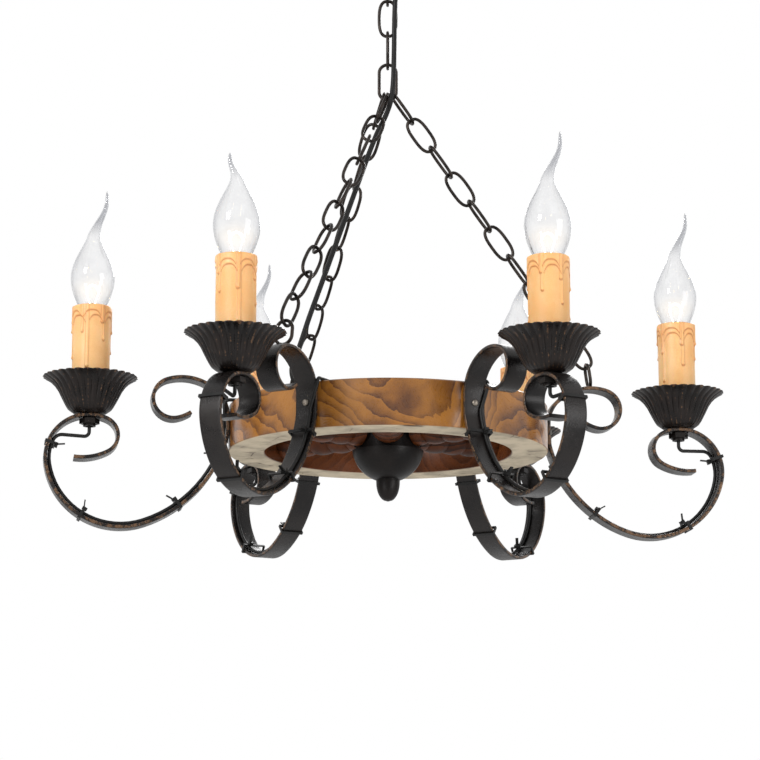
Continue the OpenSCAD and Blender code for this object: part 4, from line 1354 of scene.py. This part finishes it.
@dataclass(frozen=True)
class Studio:
    """Pale floor, soft lamps and the camera."""

    camera_place: Point = (-6.4, -1961.4, -790.96)
    camera_rise: float = 11.374
    lens: float = 117.47
    floor_z: float = -1.35

    def camera(self) -> None:
        """Puts the camera at the picture's angle."""
        data = bpy.data.cameras.new("camera")
        data.lens = self.lens
        data.sensor_width = 36
        data.clip_end = 50
        obj = bpy.data.objects.new("camera", data)
        obj.location = mm(*self.camera_place)
        obj.rotation_euler = (math.radians(90 + self.camera_rise), 0, 0)
        bpy.context.scene.collection.objects.link(obj)
        bpy.context.scene.camera = obj

    def floor(self) -> None:
        """Lays a wide pale floor."""
        bench = Bench("floor")
        bpy.ops.mesh.primitive_plane_add(size=80, location=(0, 0, self.floor_z))
        bpy.ops.object.transform_apply(location=True)
        obj = bench.take()
        material, g, shader = new_material("floor")
        shade = g.ramp(g.noise(g.place(), 3.0, 2), 0.3, 0.7)
        seen = g.add("LightPath").outputs["Is Camera Ray"]
        g.feed(shader, {
            "Base Color": g.mix(shade, (0.86, 0.86, 0.86), (0.83, 0.83, 0.83)), "Roughness": 0.9,
            "Emission Color": g.mix(seen, (0.0, 0.0, 0.0), (1.0, 1.0, 1.0)), "Emission Strength": 0.42,
        })
        obj.data.materials.append(material)

    def lamp(self, name: str, place: Point, aim: Point, size: float, power: float, colour: Colour = (1, 1, 1)) -> None:
        """Hangs one square soft lamp.

        Args:
            name: Its name.
            place: Where it hangs, in metres.
            aim: What it points at.
            size: Its side.
            power: Its power in watts.
            colour: Its colour.
        """
        data = bpy.data.lights.new(name, "AREA")
        data.size = size
        data.energy = power
        data.color = colour
        obj = bpy.data.objects.new(name, data)
        obj.location = place
        obj.rotation_euler = (Vector(aim) - Vector(place)).to_track_quat("-Z", "Y").to_euler()
        obj.visible_camera = obj.visible_transmission = False
        bpy.context.scene.collection.objects.link(obj)

    def world(self) -> None:
        """Sets a soft world that the camera sees as white."""
        world = bpy.data.worlds.new("studio")
        world.use_nodes = True
        tree = world.node_tree
        g = Graph(tree)
        out = next(n for n in tree.nodes if n.type == "OUTPUT_WORLD")
        soft = g.add("Background", {"Color": (1, 1, 1, 1), "Strength": 0.55})
        white = g.add("Background", {"Color": (1, 1, 1, 1), "Strength": 1.0})
        path = g.add("LightPath")
        glanced = g.math("MAXIMUM", path.outputs["Is Transmission Ray"], path.outputs["Is Glossy Ray"])
        seen = g.math("MAXIMUM", path.outputs["Is Camera Ray"], glanced)
        mixed = g.add("MixShader", {0: seen, 1: soft.outputs[0], 2: white.outputs[0]})
        tree.links.new(mixed.outputs[0], out.inputs[0])
        bpy.context.scene.world = world

    def build(self) -> None:
        """Sets the whole studio up."""
        self.floor()
        self.world()
        self.lamp("key", (-1.6, -2.0, 0.7), (0, 0, -0.42), 0.8, 44)
        self.lamp("fill", (2.2, -1.6, -0.2), (0, 0, -0.42), 1.4, 20)
        self.lamp("back", (0.6, 2.2, 0.9), (0, 0, -0.4), 1.2, 30)
        self.lamp("low_left", (-1.5, -2.1, -0.95), (0, 0, -0.45), 0.5, 9)
        self.lamp("low_right", (1.7, -1.9, -0.85), (0, 0, -0.45), 0.5, 9)
        bpy.context.scene.view_settings.view_transform = "Standard"


# ---------------------------------------------------------------- the chandelier

ARM_TURNS = (7.0, 60.0, 120.0, 189.0, 241.5, 300.0)
ARM_SIZES = (1.0, 0.95, 0.93, 1.0, 0.95, 0.95)
TAILS = ((0, 1.0), (0, 1.0), (0, 1.0), (0, 1.0), (180, 0.55), (0, 1.0))


def main() -> None:
    """Builds the pieces in order: camera and cord first, then chain, wheel, arms, lamps and studio."""
    logging.basicConfig(level=logging.INFO, format="%(name)s: %(message)s")
    studio = Studio()
    studio.camera()
    finishes = Finishes()
    SupplyCord().build(finishes.rubber)
    Suspension().build(finishes)
    Wheel().build(finishes)
    for number, (turn, size, (side, share)) in enumerate(zip(ARM_TURNS, ARM_SIZES, TAILS), 1):
        arm = ScrollArm(number, turn, size)
        arm.build(finishes.iron)
        CandleLamp(arm, side, share).build(finishes)
    dress(finishes.screw, "arm_screws")
    dress(finishes.plastic, "arm_wires", "cable_ties")
    dress(finishes.dark_metal, "holder_pipes")
    dress(finishes.ceramic, "lamp_holders")
    studio.build()
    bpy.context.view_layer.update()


if __name__ == "__main__":
    main()
